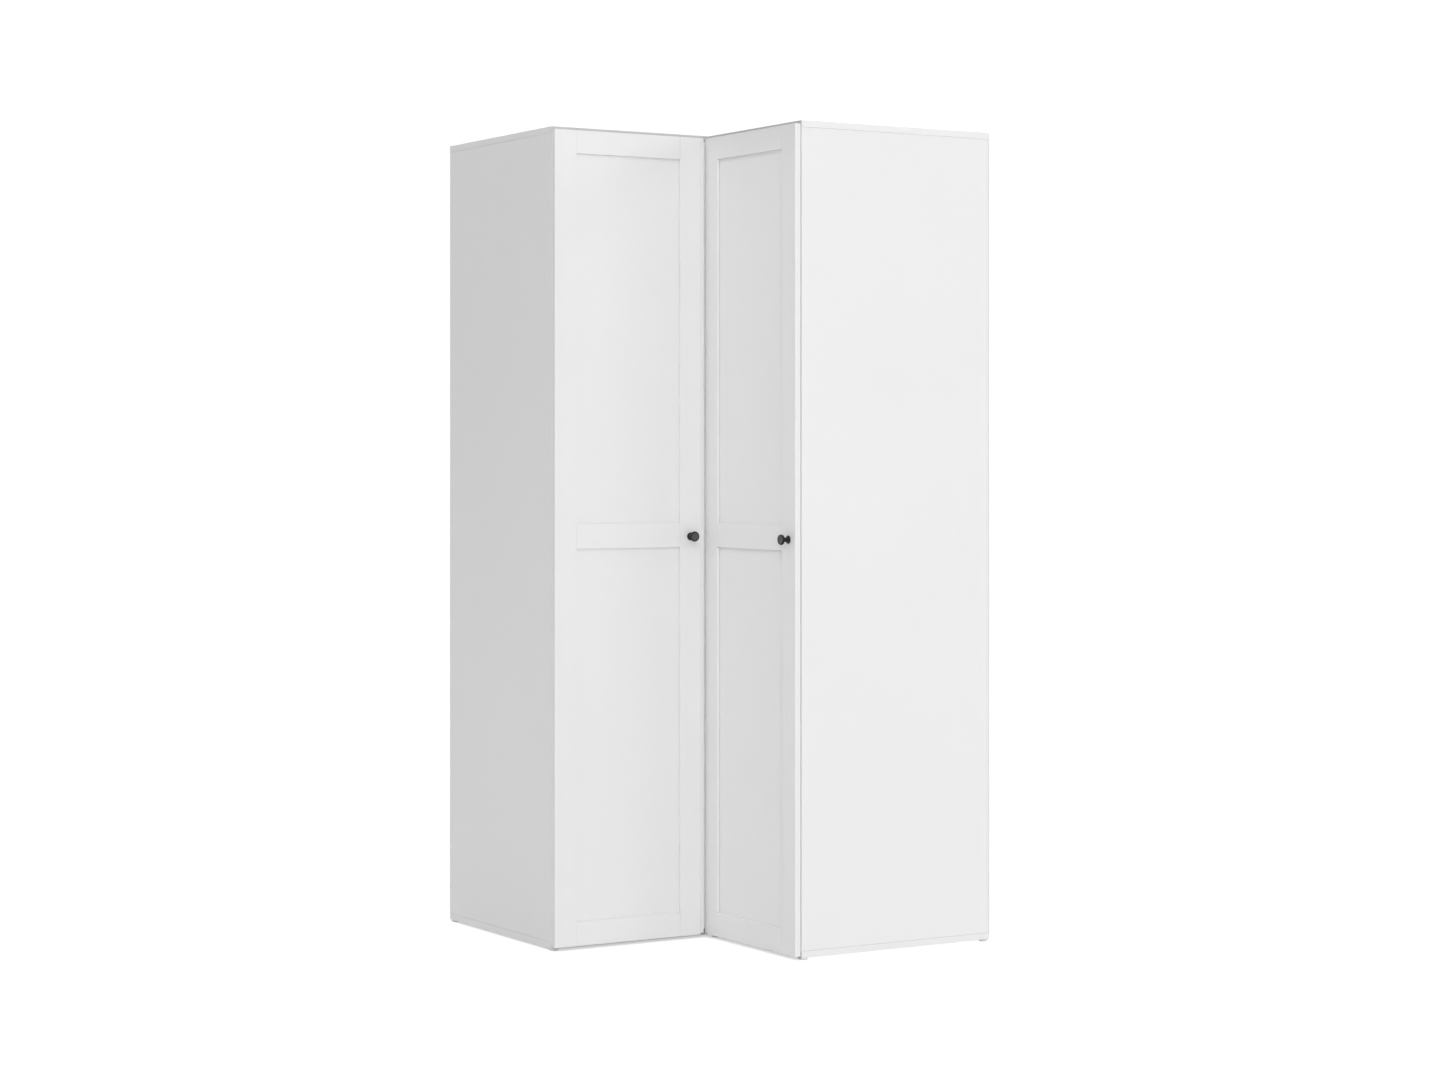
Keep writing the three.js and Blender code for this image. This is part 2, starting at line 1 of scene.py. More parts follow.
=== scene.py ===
import math
import bpy
import bmesh
import numpy as np
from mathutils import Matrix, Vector


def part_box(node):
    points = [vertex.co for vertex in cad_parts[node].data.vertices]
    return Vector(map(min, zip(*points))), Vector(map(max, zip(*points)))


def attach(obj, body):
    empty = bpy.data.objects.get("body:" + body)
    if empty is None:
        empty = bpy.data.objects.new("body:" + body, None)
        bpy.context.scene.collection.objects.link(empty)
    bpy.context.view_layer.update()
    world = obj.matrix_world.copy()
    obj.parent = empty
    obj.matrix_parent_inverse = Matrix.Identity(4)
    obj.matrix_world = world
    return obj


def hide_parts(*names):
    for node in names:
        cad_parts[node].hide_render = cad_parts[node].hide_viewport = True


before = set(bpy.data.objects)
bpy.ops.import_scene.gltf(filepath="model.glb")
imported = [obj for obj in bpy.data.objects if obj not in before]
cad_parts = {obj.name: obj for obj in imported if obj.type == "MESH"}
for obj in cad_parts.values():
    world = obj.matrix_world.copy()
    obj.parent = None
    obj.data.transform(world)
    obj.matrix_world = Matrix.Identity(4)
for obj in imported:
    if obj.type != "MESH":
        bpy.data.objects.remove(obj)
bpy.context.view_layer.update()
print("frame loaded:", len(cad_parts), "nodes")

mm = 0.001
up = np.array([0.0, 0.0, 1.0])
tiny = 1e-9  # keeps a divisor away from zero
hingeNumbers = (1, 2, 3)


# Places: each wing has its own directions. Along runs from the door's hinge edge to its
# closing edge, inward runs from the front plane of the boards into the wardrobe.

def corners(node):
    low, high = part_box(node)
    return np.array(low), np.array(high)


leftPanelLow, leftPanelHigh = corners("left_end_panel")
rightPanelLow, rightPanelHigh = corners("right_end_panel")
shelfLow, shelfHigh = corners("hat_shelf")

wings = {
    "left": {
        "body": "left_door",
        "along": np.array([1.0, 0.0, 0.0]),
        "inward": np.array([0.0, 1.0, 0.0]),
        "origin": np.array([corners("left_door_hinge_stile")[0][0], leftPanelLow[1], 0.0]),
    },
    "right": {
        "body": "right_door",
        "along": np.array([0.0, -1.0, 0.0]),
        "inward": np.array([1.0, 0.0, 0.0]),
        "origin": np.array([rightPanelLow[0], corners("right_door_hinge_stile")[1][1], 0.0]),
    },
}


def place(wing, along, inward, height):
    w = wings[wing]
    return w["origin"] + along * w["along"] + inward * w["inward"] + height * up


# Node trees: small helpers, then the effects that several finishes share.

def addNode(tree, kind, inputs=None, **settings):
    node = tree.nodes.new(kind)
    for key, value in settings.items():
        setattr(node, key, value)
    for key, value in (inputs or {}).items():
        if isinstance(value, bpy.types.NodeSocket):
            tree.links.new(value, node.inputs[key])
        else:
            node.inputs[key].default_value = value
    return node


def math2(tree, operation, a, b):
    return addNode(tree, "ShaderNodeMath", {0: a, 1: b}, operation=operation).outputs[0]


def newGroup(name, inputs, outputs):
    tree = bpy.data.node_groups.new(name, "ShaderNodeTree")
    for title, kind, default in inputs:
        socket = tree.interface.new_socket(title, in_out="INPUT", socket_type=kind)
        if default is not None:
            socket.default_value = default
    for title, kind in outputs:
        tree.interface.new_socket(title, in_out="OUTPUT", socket_type=kind)
    return tree, tree.nodes.new("NodeGroupInput").outputs, tree.nodes.new("NodeGroupOutput").inputs


floatKind = "NodeSocketFloat"
vectorKind = "NodeSocketVector"
noiseMiddle = 0.5  # a noise wanders about this value


def addNoise(tree, vector, scale, detail, distortion=0.0):
    return addNode(tree, "ShaderNodeTexNoise", {
        "Vector": vector, "Scale": scale, "Detail": detail, "Distortion": distortion}).outputs[0]


def addRange(tree, value, span, result=(0.0, 1.0)):
    # The value's place in a span, from 0 to 1 or carried over to the result's own span
    return addNode(tree, "ShaderNodeMapRange", {
        0: value, 1: span[0], 2: span[1], 3: result[0], 4: result[1]}).outputs[0]


grainLook = {
    "size": 1 * mm, "wander": 0.05, "roughness": 0.4, "broadWidth": 3.0, "broadShare": 0.6, "cloudScale": 2.3,
    "details": {"fine": 2.0, "broad": 1.0, "cloud": 3.0},
}


def makePearlGrain():
    # Fine embossing of a foil or powder coat: height is two noises, one at the grain size and one
    # three grains wide, and the gloss wanders with a slow third noise.
    tree, given, out = newGroup(
        "pearlGrain",
        [("Vector", vectorKind, None), ("Grain Size", floatKind, grainLook["size"]),
         ("Gloss Wander", floatKind, grainLook["wander"]), ("Roughness", floatKind, grainLook["roughness"])],
        [("Height", floatKind), ("Roughness", floatKind), ("Cloud", floatKind)],
    )
    scale = math2(tree, "DIVIDE", 1.0, given["Grain Size"])
    wide = math2(tree, "DIVIDE", scale, grainLook["broadWidth"])
    fine = addNoise(tree, given["Vector"], scale, grainLook["details"]["fine"])
    broad = addNoise(tree, given["Vector"], wide, grainLook["details"]["broad"])
    cloud = addNoise(tree, given["Vector"], grainLook["cloudScale"], grainLook["details"]["cloud"])
    height = math2(tree, "ADD", fine, math2(tree, "MULTIPLY", broad, grainLook["broadShare"]))
    centred = math2(tree, "SUBTRACT", cloud, noiseMiddle)
    mixed = math2(tree, "ADD", centred, math2(tree, "SUBTRACT", broad, noiseMiddle))
    rough = math2(tree, "ADD", given["Roughness"], math2(tree, "MULTIPLY", mixed, given["Gloss Wander"]))
    tree.links.new(height, out["Height"])
    tree.links.new(rough, out["Roughness"])
    tree.links.new(centred, out["Cloud"])
    return tree


dustLook = {"amount": 0.1, "patch": 50 * mm, "upward": (0.6, 1.0), "detail": 5.0, "broken": (0.35, 0.75)}


def makeDustFilm():
    # Dust: the upward part of the surface's own direction, broken up by noise.
    tree, given, out = newGroup(
        "dustFilm",
        [("Vector", vectorKind, None), ("Amount", floatKind, dustLook["amount"]),
         ("Patch Size", floatKind, dustLook["patch"])],
        [("Mask", floatKind)],
    )
    normal = addNode(tree, "ShaderNodeNewGeometry").outputs["Normal"]
    facing = addNode(tree, "ShaderNodeSeparateXYZ", {0: normal})
    upward = addRange(tree, facing.outputs[2], dustLook["upward"])
    scale = math2(tree, "DIVIDE", 1.0, given["Patch Size"])
    patchy = addRange(tree, addNoise(tree, given["Vector"], scale, dustLook["detail"]), dustLook["broken"])
    share = math2(tree, "MULTIPLY", upward, patchy)
    tree.links.new(math2(tree, "MULTIPLY", share, given["Amount"]), out["Mask"])
    return tree


rubLook = {
    "width": 0.6 * mm, "amount": 0.5, "samples": 4, "leaving": (0.995, 0.8),
    "scale": 260.0, "detail": 4.0, "broken": (0.4, 0.65),
}


def makeEdgeRub():
    # Rubbed edges: where a rounded-off direction leaves the flat one, broken up by noise.
    tree, given, out = newGroup(
        "edgeRub",
        [("Vector", vectorKind, None), ("Width", floatKind, rubLook["width"]),
         ("Amount", floatKind, rubLook["amount"])],
        [("Mask", floatKind)],
    )
    eased = addNode(tree, "ShaderNodeBevel", {"Radius": given["Width"]}, samples=rubLook["samples"])
    flat = addNode(tree, "ShaderNodeNewGeometry").outputs["True Normal"]
    same = addNode(tree, "ShaderNodeVectorMath", {0: eased.outputs[0], 1: flat}, operation="DOT_PRODUCT")
    edge = addRange(tree, same.outputs["Value"], rubLook["leaving"])
    noise = addNoise(tree, given["Vector"], rubLook["scale"], rubLook["detail"])
    share = math2(tree, "MULTIPLY", edge, addRange(tree, noise, rubLook["broken"]))
    tree.links.new(math2(tree, "MULTIPLY", share, given["Amount"]), out["Mask"])
    return tree


lineLook = {"stretch": (900.0, 900.0, 20.0), "roughness": 0.3, "spread": 0.12, "detail": 3.0}


def makeDrawnLines():
    # Drawing or turning marks: noise squeezed across the lines, by the stretch given for each axis.
    tree, given, out = newGroup(
        "drawnLines",
        [("Vector", vectorKind, None), ("Stretch", vectorKind, lineLook["stretch"]),
         ("Roughness", floatKind, lineLook["roughness"]), ("Spread", floatKind, lineLook["spread"])],
        [("Height", floatKind), ("Roughness", floatKind)],
    )
    squeezed = addNode(tree, "ShaderNodeVectorMath", {
        0: given["Vector"], 1: given["Stretch"]}, operation="MULTIPLY").outputs[0]
    noise = addNoise(tree, squeezed, 1.0, lineLook["detail"])
    centred = math2(tree, "SUBTRACT", noise, noiseMiddle)
    rough = math2(tree, "ADD", given["Roughness"], math2(tree, "MULTIPLY", centred, given["Spread"]))
    tree.links.new(noise, out["Height"])
    tree.links.new(rough, out["Roughness"])
    return tree


groups = {
    "pearlGrain": makePearlGrain(),
    "dustFilm": makeDustFilm(),
    "edgeRub": makeEdgeRub(),
    "drawnLines": makeDrawnLines(),
}


def useGroup(tree, name, inputs):
    return addNode(tree, "ShaderNodeGroup", inputs, node_tree=groups[name]).outputs


def newMaterial(name):
    material = bpy.data.materials.new(name)
    material.use_nodes = True
    tree = material.node_tree
    tree.nodes.clear()
    shader = tree.nodes.new("ShaderNodeBsdfPrincipled")
    output = tree.nodes.new("ShaderNodeOutputMaterial")
    tree.links.new(shader.outputs[0], output.inputs[0])
    return material, tree, shader, addNode(tree, "ShaderNodeTexCoord").outputs["Object"]


def blendColour(tree, share, low, high):
    # Sockets 6 and 7 are the mix node's colours, and 2 is its colour output
    return addNode(tree, "ShaderNodeMix", {0: share, 6: low, 7: high}, data_type="RGBA").outputs[2]


def addBump(tree, shader, height, depth):
    bump = addNode(tree, "ShaderNodeBump", {"Height": height, "Distance": depth, "Strength": 1.0})
    tree.links.new(bump.outputs[0], shader.inputs["Normal"])


# Lacquered white foil on the boards and doors and its edge bands; a greyer band of painted shade along the
# front edges of the top and bottom boards; painted light as a paler face beside the corner's cover strip and
# a paler ledge under each lower panel; and painted shade in the crease along the hinge side of the right
# door's recess
foil = {
    "colour": (0.800, 0.800, 0.800, 1.0),
    "shade": (0.770, 0.770, 0.768, 1.0),
    # painted shade: grey tones for the front edges of the top and bottom boards, where the doors shade them
    "frontPaintedShadeColour": (0.56, 0.56, 0.56, 1.0),
    "frontPaintedShadeTone": (0.52, 0.52, 0.52, 1.0),
    # painted light: paler tones for the filler's face in the shaded groove beside the corner's cover strip
    "paintedLightFaceColour": (0.95, 0.95, 0.95, 1.0),
    "paintedLightFaceShade": (0.93, 0.93, 0.93, 1.0),
    # painted light: paler tones for the top of each bottom rail, the ledge under the lower panel
    "paintedLightLedgeColour": (0.90, 0.90, 0.90, 1.0),
    "paintedLightLedgeShade": (0.88, 0.88, 0.88, 1.0),
    # painted shade: a darker crease along the hinge side of the right door's recess, fading over its width
    "paintedCreaseShade": (0.60, 0.60, 0.60, 1.0),
    "paintedCreaseWidth": 4 * mm,
    "dust": (0.62, 0.61, 0.59, 1.0),
    "dustAmount": 0.16,
    "cloudShare": 0.8,
    "cloudMiddle": 0.35,
    "grain": 0.9 * mm,
    "bandGrain": 1.4 * mm,
    "depth": 0.012 * mm,
    "roughness": 0.42,
    "bandRoughness": 0.34,
}


def makeFoil(name, colour="colour", shade="shade", band=False, paintedCreaseAt=None):
    material, tree, shader, where = newMaterial(name)
    grain = foil["bandGrain" if band else "grain"]
    roughness = foil["bandRoughness" if band else "roughness"]
    pearl = useGroup(tree, "pearlGrain", {"Vector": where, "Grain Size": grain, "Roughness": roughness})
    dust = useGroup(tree, "dustFilm", {"Vector": where, "Amount": foil["dustAmount"]})
    cloud = math2(tree, "MULTIPLY", pearl["Cloud"], foil["cloudShare"])
    tone = math2(tree, "ADD", cloud, foil["cloudMiddle"])
    base = blendColour(tree, tone, foil[colour], foil[shade])
    if paintedCreaseAt is not None:
        # Painted shade: the panel grows darker over the crease's width, towards the stile at the given place
        # along y
        parts = addNode(tree, "ShaderNodeSeparateXYZ", {0: where})
        share = addRange(tree, parts.outputs[1], (paintedCreaseAt - foil["paintedCreaseWidth"], paintedCreaseAt))
        base = blendColour(tree, share, base, foil["paintedCreaseShade"])
    tree.links.new(blendColour(tree, dust["Mask"], base, foil["dust"]), shader.inputs["Base Color"])
    tree.links.new(math2(tree, "ADD", pearl["Roughness"], dust["Mask"]), shader.inputs["Roughness"])
    addBump(tree, shader, pearl["Height"], foil["depth"])
    return material


# Hardboard back: white paint on both faces, with the fibre flecks showing faintly through it
hardboard = {
    "paint": (0.74, 0.74, 0.73, 1.0),
    "fibre": (0.60, 0.57, 0.52, 1.0),
    "fleck": (0.46, 0.43, 0.38, 1.0),
    "fleckShare": 0.12,
    "fibreScale": 420.0, "fibreDetail": 6.0, "fibreTwist": 1.5, "fleckSpan": (0.5, 0.72),
    "grain": 0.7 * mm,
    "roughness": 0.62,
    "depth": 0.03 * mm,
}


def makeHardboard():
    material, tree, shader, where = newMaterial("whiteHardboard")
    pearl = useGroup(tree, "pearlGrain", {
        "Vector": where, "Grain Size": hardboard["grain"], "Roughness": hardboard["roughness"]})
    fibres = addNoise(tree, where, hardboard["fibreScale"], hardboard["fibreDetail"], hardboard["fibreTwist"])
    flecks = addRange(tree, fibres, hardboard["fleckSpan"])
    tone = blendColour(tree, flecks, hardboard["fibre"], hardboard["fleck"])
    share = math2(tree, "MULTIPLY", flecks, hardboard["fleckShare"])
    painted = blendColour(tree, share, hardboard["paint"], tone)
    tree.links.new(painted, shader.inputs["Base Color"])
    tree.links.new(pearl["Roughness"], shader.inputs["Roughness"])
    addBump(tree, shader, math2(tree, "ADD", pearl["Height"], fibres), hardboard["depth"])
    return material


# Black powder-coated metal of the knobs, paler and smoother on rubbed edges, and paler on the face as painted
# sheen
blackCoat = {
    "colour": (0.004, 0.004, 0.005, 1.0),
    "rubbed": (0.030, 0.030, 0.033, 1.0),
    # painted sheen: a paler grey for the knob's face, its rubbed edges paler still
    "faceSheenColour": (0.070, 0.070, 0.073, 1.0),
    "faceSheenRubbed": (0.110, 0.110, 0.115, 1.0),
    "rubWidth": 0.9 * mm,
    "rubAmount": 0.5,
    "rubGloss": 0.12,
    "roughness": 0.38,
    "glossWander": 0.15,
    "metal": 0.35,
    "specular": 0.6,
    "grain": 0.35 * mm,
    "depth": 0.012 * mm,
}


def makeBlackCoat(name, colour="colour", rubbed="rubbed"):
    material, tree, shader, where = newMaterial(name)
    pearl = useGroup(tree, "pearlGrain", {
        "Vector": where, "Grain Size": blackCoat["grain"], "Roughness": blackCoat["roughness"],
        "Gloss Wander": blackCoat["glossWander"]})
    rub = useGroup(tree, "edgeRub", {
        "Vector": where, "Width": blackCoat["rubWidth"], "Amount": blackCoat["rubAmount"]})["Mask"]
    tree.links.new(blendColour(tree, rub, blackCoat[colour], blackCoat[rubbed]), shader.inputs["Base Color"])
    smoother = math2(tree, "MULTIPLY", rub, blackCoat["rubGloss"])
    tree.links.new(math2(tree, "SUBTRACT", pearl["Roughness"], smoother), shader.inputs["Roughness"])
    shader.inputs["Metallic"].default_value = blackCoat["metal"]
    shader.inputs["Specular IOR Level"].default_value = blackCoat["specular"]
    addBump(tree, shader, pearl["Height"], blackCoat["depth"])
    return material


# Plated steel: nickel on the hinges and rails, zinc on screws, brackets and nails
plating = {"cloudShare": 1.5, "cloudMiddle": 0.4, "rubAmount": 0.6}
nickel = {
    "colour": (0.56, 0.57, 0.58, 1.0),
    "dull": (0.44, 0.44, 0.45, 1.0),
    "stretch": (40.0, 40.0, 900.0),
    "roughness": 0.24,
    "depth": 0.004 * mm,
}
zinc = {
    "colour": (0.50, 0.51, 0.53, 1.0),
    "dull": (0.38, 0.38, 0.41, 1.0),
    "stretch": (500.0, 500.0, 500.0),
    "roughness": 0.36,
    "depth": 0.006 * mm,
}


def makePlated(name, look):
    material, tree, shader, where = newMaterial(name)
    lines = useGroup(tree, "drawnLines", {
        "Vector": where, "Stretch": look["stretch"], "Roughness": look["roughness"]})
    pearl = useGroup(tree, "pearlGrain", {"Vector": where})
    rub = useGroup(tree, "edgeRub", {"Vector": where, "Amount": plating["rubAmount"]})
    cloud = math2(tree, "MULTIPLY", pearl["Cloud"], plating["cloudShare"])
    base = blendColour(tree, math2(tree, "ADD", cloud, plating["cloudMiddle"]), look["colour"], look["dull"])
    tree.links.new(blendColour(tree, rub["Mask"], base, look["colour"]), shader.inputs["Base Color"])
    tree.links.new(lines["Roughness"], shader.inputs["Roughness"])
    shader.inputs["Metallic"].default_value = 1.0
    addBump(tree, shader, lines["Height"], look["depth"])
    return material


# Moulded white plastic: glides, strips, caps and bumpers
plastic = {
    "colour": (0.74, 0.74, 0.73, 1.0),
    "worn": (0.55, 0.54, 0.51, 1.0),
    "rubAmount": 0.4,
    "grain": 0.5 * mm,
    "roughness": 0.5,
    "depth": 0.02 * mm,
}


def makePlastic():
    material, tree, shader, where = newMaterial("whitePlastic")
    pearl = useGroup(tree, "pearlGrain", {
        "Vector": where, "Grain Size": plastic["grain"], "Roughness": plastic["roughness"]})
    rub = useGroup(tree, "edgeRub", {"Vector": where, "Amount": plastic["rubAmount"]})["Mask"]
    tree.links.new(blendColour(tree, rub, plastic["colour"], plastic["worn"]), shader.inputs["Base Color"])
    tree.links.new(pearl["Roughness"], shader.inputs["Roughness"])
    addBump(tree, shader, pearl["Height"], plastic["depth"])
    return material


finishes = {
    "white_foil": makeFoil("whiteFoil"),
    "edge_band": makeFoil("whiteEdgeBand", band=True),
    # painted shade: a grey band on the front edges of the top and bottom boards
    "painted_shade_front_band": makeFoil("paintedShadeFrontBand", "frontPaintedShadeColour", "frontPaintedShadeTone", band=True),
    # painted light: a paler face beside the corner's cover strip
    "painted_light_face": makeFoil("paintedLightCornerFace", "paintedLightFaceColour", "paintedLightFaceShade"),
    # painted light: a paler ledge under each lower panel
    "painted_light_ledge": makeFoil("paintedLightRecessLedge", "paintedLightLedgeColour", "paintedLightLedgeShade"),
    # painted shade: a crease darkening towards the right door's hinge stile
    "painted_crease_shade_panel": makeFoil("paintedCreaseShadePanelFoil", paintedCreaseAt=corners("right_door_hinge_stile")[0][1]),
    "white_sheet": makeHardboard(),
    "black_metal": makeBlackCoat("blackCoatedMetal"),
    # painted sheen: the knob's paler face
    "black_sheen_face": makeBlackCoat("blackPaintedSheenFace", "faceSheenColour", "faceSheenRubbed"),
    "nickel_steel": makePlated("nickelSteel", nickel),
    "zinc_steel": makePlated("zincSteel", zinc),
    "white_plastic": makePlastic(),
}
print("finishes made:", len(finishes))


# Meshes: a piece is placed in the scene once, under its body, and the nodes it replaces are hidden.

def addPiece(name, mesh, body, slot, replaced=()):
    piece = bpy.data.objects.new(name, mesh)
    bpy.context.scene.collection.objects.link(piece)
    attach(piece, body)
    if replaced:
        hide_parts(*replaced)
    return piece


def buildMesh(name, points, quads, ends, finish, smooth=True):
    mesh = bpy.data.meshes.new(name)
    mesh.from_pydata(points.tolist(), [], quads.tolist() + [list(face) for face in ends])
    mesh.materials.append(finishes[finish])
    mesh.polygons.foreach_set("use_smooth", np.full(len(mesh.polygons), smooth))
    mesh.update()
    return mesh


# How upright an axis may be before it takes the other helper direction, and how much of an edge
# one rounded corner may use
limits = {"upright": 0.9, "cornerShare": 0.49}


def edgeAcross(axis):
    # Two directions square to the axis, right-handed with it
    helper = up if abs(axis[2]) < limits["upright"] else np.array([1.0, 0.0, 0.0])
    first = np.cross(helper, axis)
    first = first / np.linalg.norm(first)
    return first, np.cross(axis, first)


def ringSurface(rings, start, end, foot, axis):
    # Rings of the same number of points, joined in order: point = foot + height * axis
    # + radius * (cos(angle) * first + sin(angle) * second), with one point closing each end.
    radius, angle, height = rings
    rows, sides = radius.shape
    first, second = edgeAcross(axis)
    spread = radius[..., None] * (np.cos(angle)[..., None] * first + np.sin(angle)[..., None] * second)
    body = (foot + height[..., None] * axis + spread).reshape(-1, 3)
    points = np.vstack([body, foot + start * axis, foot + end * axis])
    row, side = np.meshgrid(np.arange(rows - 1), np.arange(sides), indexing="ij")
    after = (side + 1) % sides
    a, b = row * sides + side, row * sides + after
    quads = np.stack([a, b, b + sides, a + sides], -1).reshape(-1, 4)
    here = np.arange(sides)
    there = (here + 1) % sides
    last = (rows - 1) * sides
    low = np.stack([there, here, np.full(sides, rows * sides)], -1)
    high = np.stack([last + here, last + there, np.full(sides, rows * sides + 1)], -1)
    return points, quads, np.vstack([low, high])


def turnedRings(outline, sides):
    # A turned outline of radius and height pairs, the same at every angle
    angle = np.broadcast_to(np.linspace(0, 2 * math.pi, sides, endpoint=False), (len(outline), sides))
    radius = np.broadcast_to(outline[:, :1], angle.shape)
    height = np.broadcast_to(outline[:, 1:], angle.shape)
    return radius, angle, height


def joinParts(parts):
    # Several surfaces as one set of points, quads and end faces
    points, quads, ends, offset = [], [], [], 0
    for p, q, e in parts:
        points.append(p)
        quads.append(q + offset)
        ends += [np.asarray(face) + offset for face in e]
        offset += len(p)
    return np.vstack(points), np.vstack(quads), ends


def addSurfaces(name, parts, body, slot, replaced=(), smooth=True):
    # One piece made of one or more surfaces, in the finish of its slot
    return addPiece(name, buildMesh(name, *joinParts(parts), slot, smooth), body, slot, replaced)


def barPart(outline, first, second, foot, along, length):
    # An outline carried straight along a direction: point = foot + a * first + b * second
    # + t * length * along, with t 0 at the foot and 1 at the end, and a flat face on each end.
    a, b = np.array(outline, float).T
    ring = foot + a[:, None] * first + b[:, None] * second
    points = np.vstack([ring, ring + length * along])
    count = len(a)
    here = np.arange(count)
    there = (here + 1) % count
    quads = np.stack([here, there, there + count, here + count], -1)
    return points, quads, [here[::-1], here + count]


def rounded(points, radius, steps):
    # Replaces each inner corner of an open outline by an arc-like curve: a quadratic blend between
    # the points that lie one radius, or just under half an edge, to each side of the corner.
    points = np.array(points, float)
    curve = [points[:1]]
    t = np.linspace(0, 1, steps)[:, None]
    for before, corner, after in zip(points[:-2], points[1:-1], points[2:]):
        near, far = before - corner, after - corner
        nearLength, farLength = np.linalg.norm(near), np.linalg.norm(far)
        cut = min(radius, limits["cornerShare"] * nearLength, limits["cornerShare"] * farLength)
        start, end = corner + near / nearLength * cut, corner + far / farLength * cut
        curve.append((1 - t) ** 2 * start + 2 * t * (1 - t) * corner + t ** 2 * end)
    curve.append(points[-1:])
    return np.vstack(curve)


def turnedPart(outline, look, foot, axis):
    # An outline from the middle of the foot to the middle of the end, with its corners rounded and
    # its two middles left to the closing points
    outline = rounded(outline, look["easing"], look["steps"])[1:-1]
    return ringSurface(turnedRings(outline, look["sides"]), outline[0][1], outline[-1][1], foot, axis)


# Boards, doors and fittings keep the shape of their CAD node: a merged copy with eased edges.
easing = {
    "boards": {"width": 0.5 * mm, "steps": 2},
    "doors": {"width": 0.35 * mm, "steps": 3},
    "sheets": {"width": 0.2 * mm, "steps": 1},
    "fittings": {"width": 0.3 * mm, "steps": 2},
    "mergeReach": 0.005 * mm, "flatAngle": math.radians(0.4), "edgeAngle": math.radians(28),
    "facing": 0.9, "planeReach": 1 * mm,
    "jointReach": 1 * mm, "jointGap": 0.3 * mm,
}


def squareJoint(solid, wing, closing):
    # The stile's edge beside the rails is square, and the closing stile stands a hair away from them
    toRails = -wing["along"] if closing else wing["along"]
    places = np.array([vertex.co for vertex in solid.verts]) @ toRails
    edge = places.max() - (easing["jointGap"] if closing else 0.0)
    for vertex, spot in zip(solid.verts, places):
        if spot > places.max() - easing["jointReach"]:
            vertex.co += Vector(toRails * (edge - spot))


def bandOf(face, bandAxes, planes):
    # 0 for the piece's own finish, 1 for a face along a banded axis, and the next one for a face
    # that looks a given way in a given plane
    centre = face.calc_center_median()
    for (axis, way), plane in planes.items():
        if face.normal[axis] * way > easing["facing"] and abs(centre[axis] - plane) < easing["planeReach"]:
            return 1 + bool(bandAxes)
    return int(any(abs(face.normal[axis]) > easing["facing"] for axis in bandAxes))


def easedCopy(node, name, body, slot, kind, bandAxes=(), marked=None):
    # A marked node has a finish and the planes, (axis, way): place, whose faces wear it
    finish, planes = marked or (None, {})
    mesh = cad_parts[node].data.copy()
    mesh.name = name
    mesh.materials.clear()
    if "custom_normal" in mesh.attributes:
        mesh.attributes.remove(mesh.attributes["custom_normal"])
    solid = bmesh.new()
    solid.from_mesh(mesh)
    bmesh.ops.remove_doubles(solid, verts=solid.verts, dist=easing["mergeReach"])
    bmesh.ops.dissolve_limit(solid, angle_limit=easing["flatAngle"], verts=solid.verts, edges=solid.edges)
    if node.endswith("stile"):
        squareJoint(solid, wings[node.split("_")[0]], node.endswith("closing_stile"))
    for face in solid.faces:
        face.smooth = True
        face.material_index = bandOf(face, bandAxes, planes)
    solid.to_mesh(mesh)
    solid.free()
    mesh.materials.append(finishes[slot])
    if bandAxes:
        mesh.materials.append(finishes["edge_band"])
    if marked:
        mesh.materials.append(finishes[finish])
    piece = addPiece(name, mesh, body, slot, [node])
    bevel = piece.modifiers.new("easedEdges", "BEVEL")
    bevel.width = easing[kind]["width"]
    bevel.segments = easing[kind]["steps"]
    bevel.limit_method = "ANGLE"
    bevel.angle_limit = easing["edgeAngle"]
    bevel.harden_normals = True
    return piece


# How far the front of the corner's cover strip stands before the filler board's own front face
coverDepth = 8 * mm


def makeCarcass():
    # Each board with the axes along which its edge bands face
    boards = {
        "top_board": (0, 1), "bottom_board": (0, 1), "hat_shelf": (0, 1),
        "left_end_panel": (1, 2), "right_end_panel": (0, 2),
        "corner_jamb": (1, 2), "corner_filler": (0, 2), "corner_return": (1, 2), "hinge_upright": (0, 2),
        "rear_corner_post": (), "left_shelf_cleat": (), "right_shelf_cleat": (),
    }
    frontPlanes = {(0, -1): rightPanelLow[0], (1, -1): leftPanelLow[1]}
    besideCover = {(1, -1): corners("corner_filler")[0][1] + coverDepth}
    marked = {
        # the front edges of the top and bottom boards wear the grey band of painted shade
        "top_board": ("painted_shade_front_band", frontPlanes), "bottom_board": ("painted_shade_front_band", frontPlanes),
        # the filler's face beside the cover strip wears the paler finish of painted light
        "corner_filler": ("painted_light_face", besideCover),
    }
    for node, bandAxes in boards.items():
        easedCopy(node, node + "_eased", "carcass", "white_foil", "boards", bandAxes, marked.get(node))
    for part, steel in (("rail_hanger", "nickel_steel"), ("wall_bracket", "zinc_steel")):
        for side in wings:
            node = f"{side}_{part}"
            easedCopy(node, node + "_plated", "carcass", steel, "fittings")


makeCarcass()
print("carcass boards made")


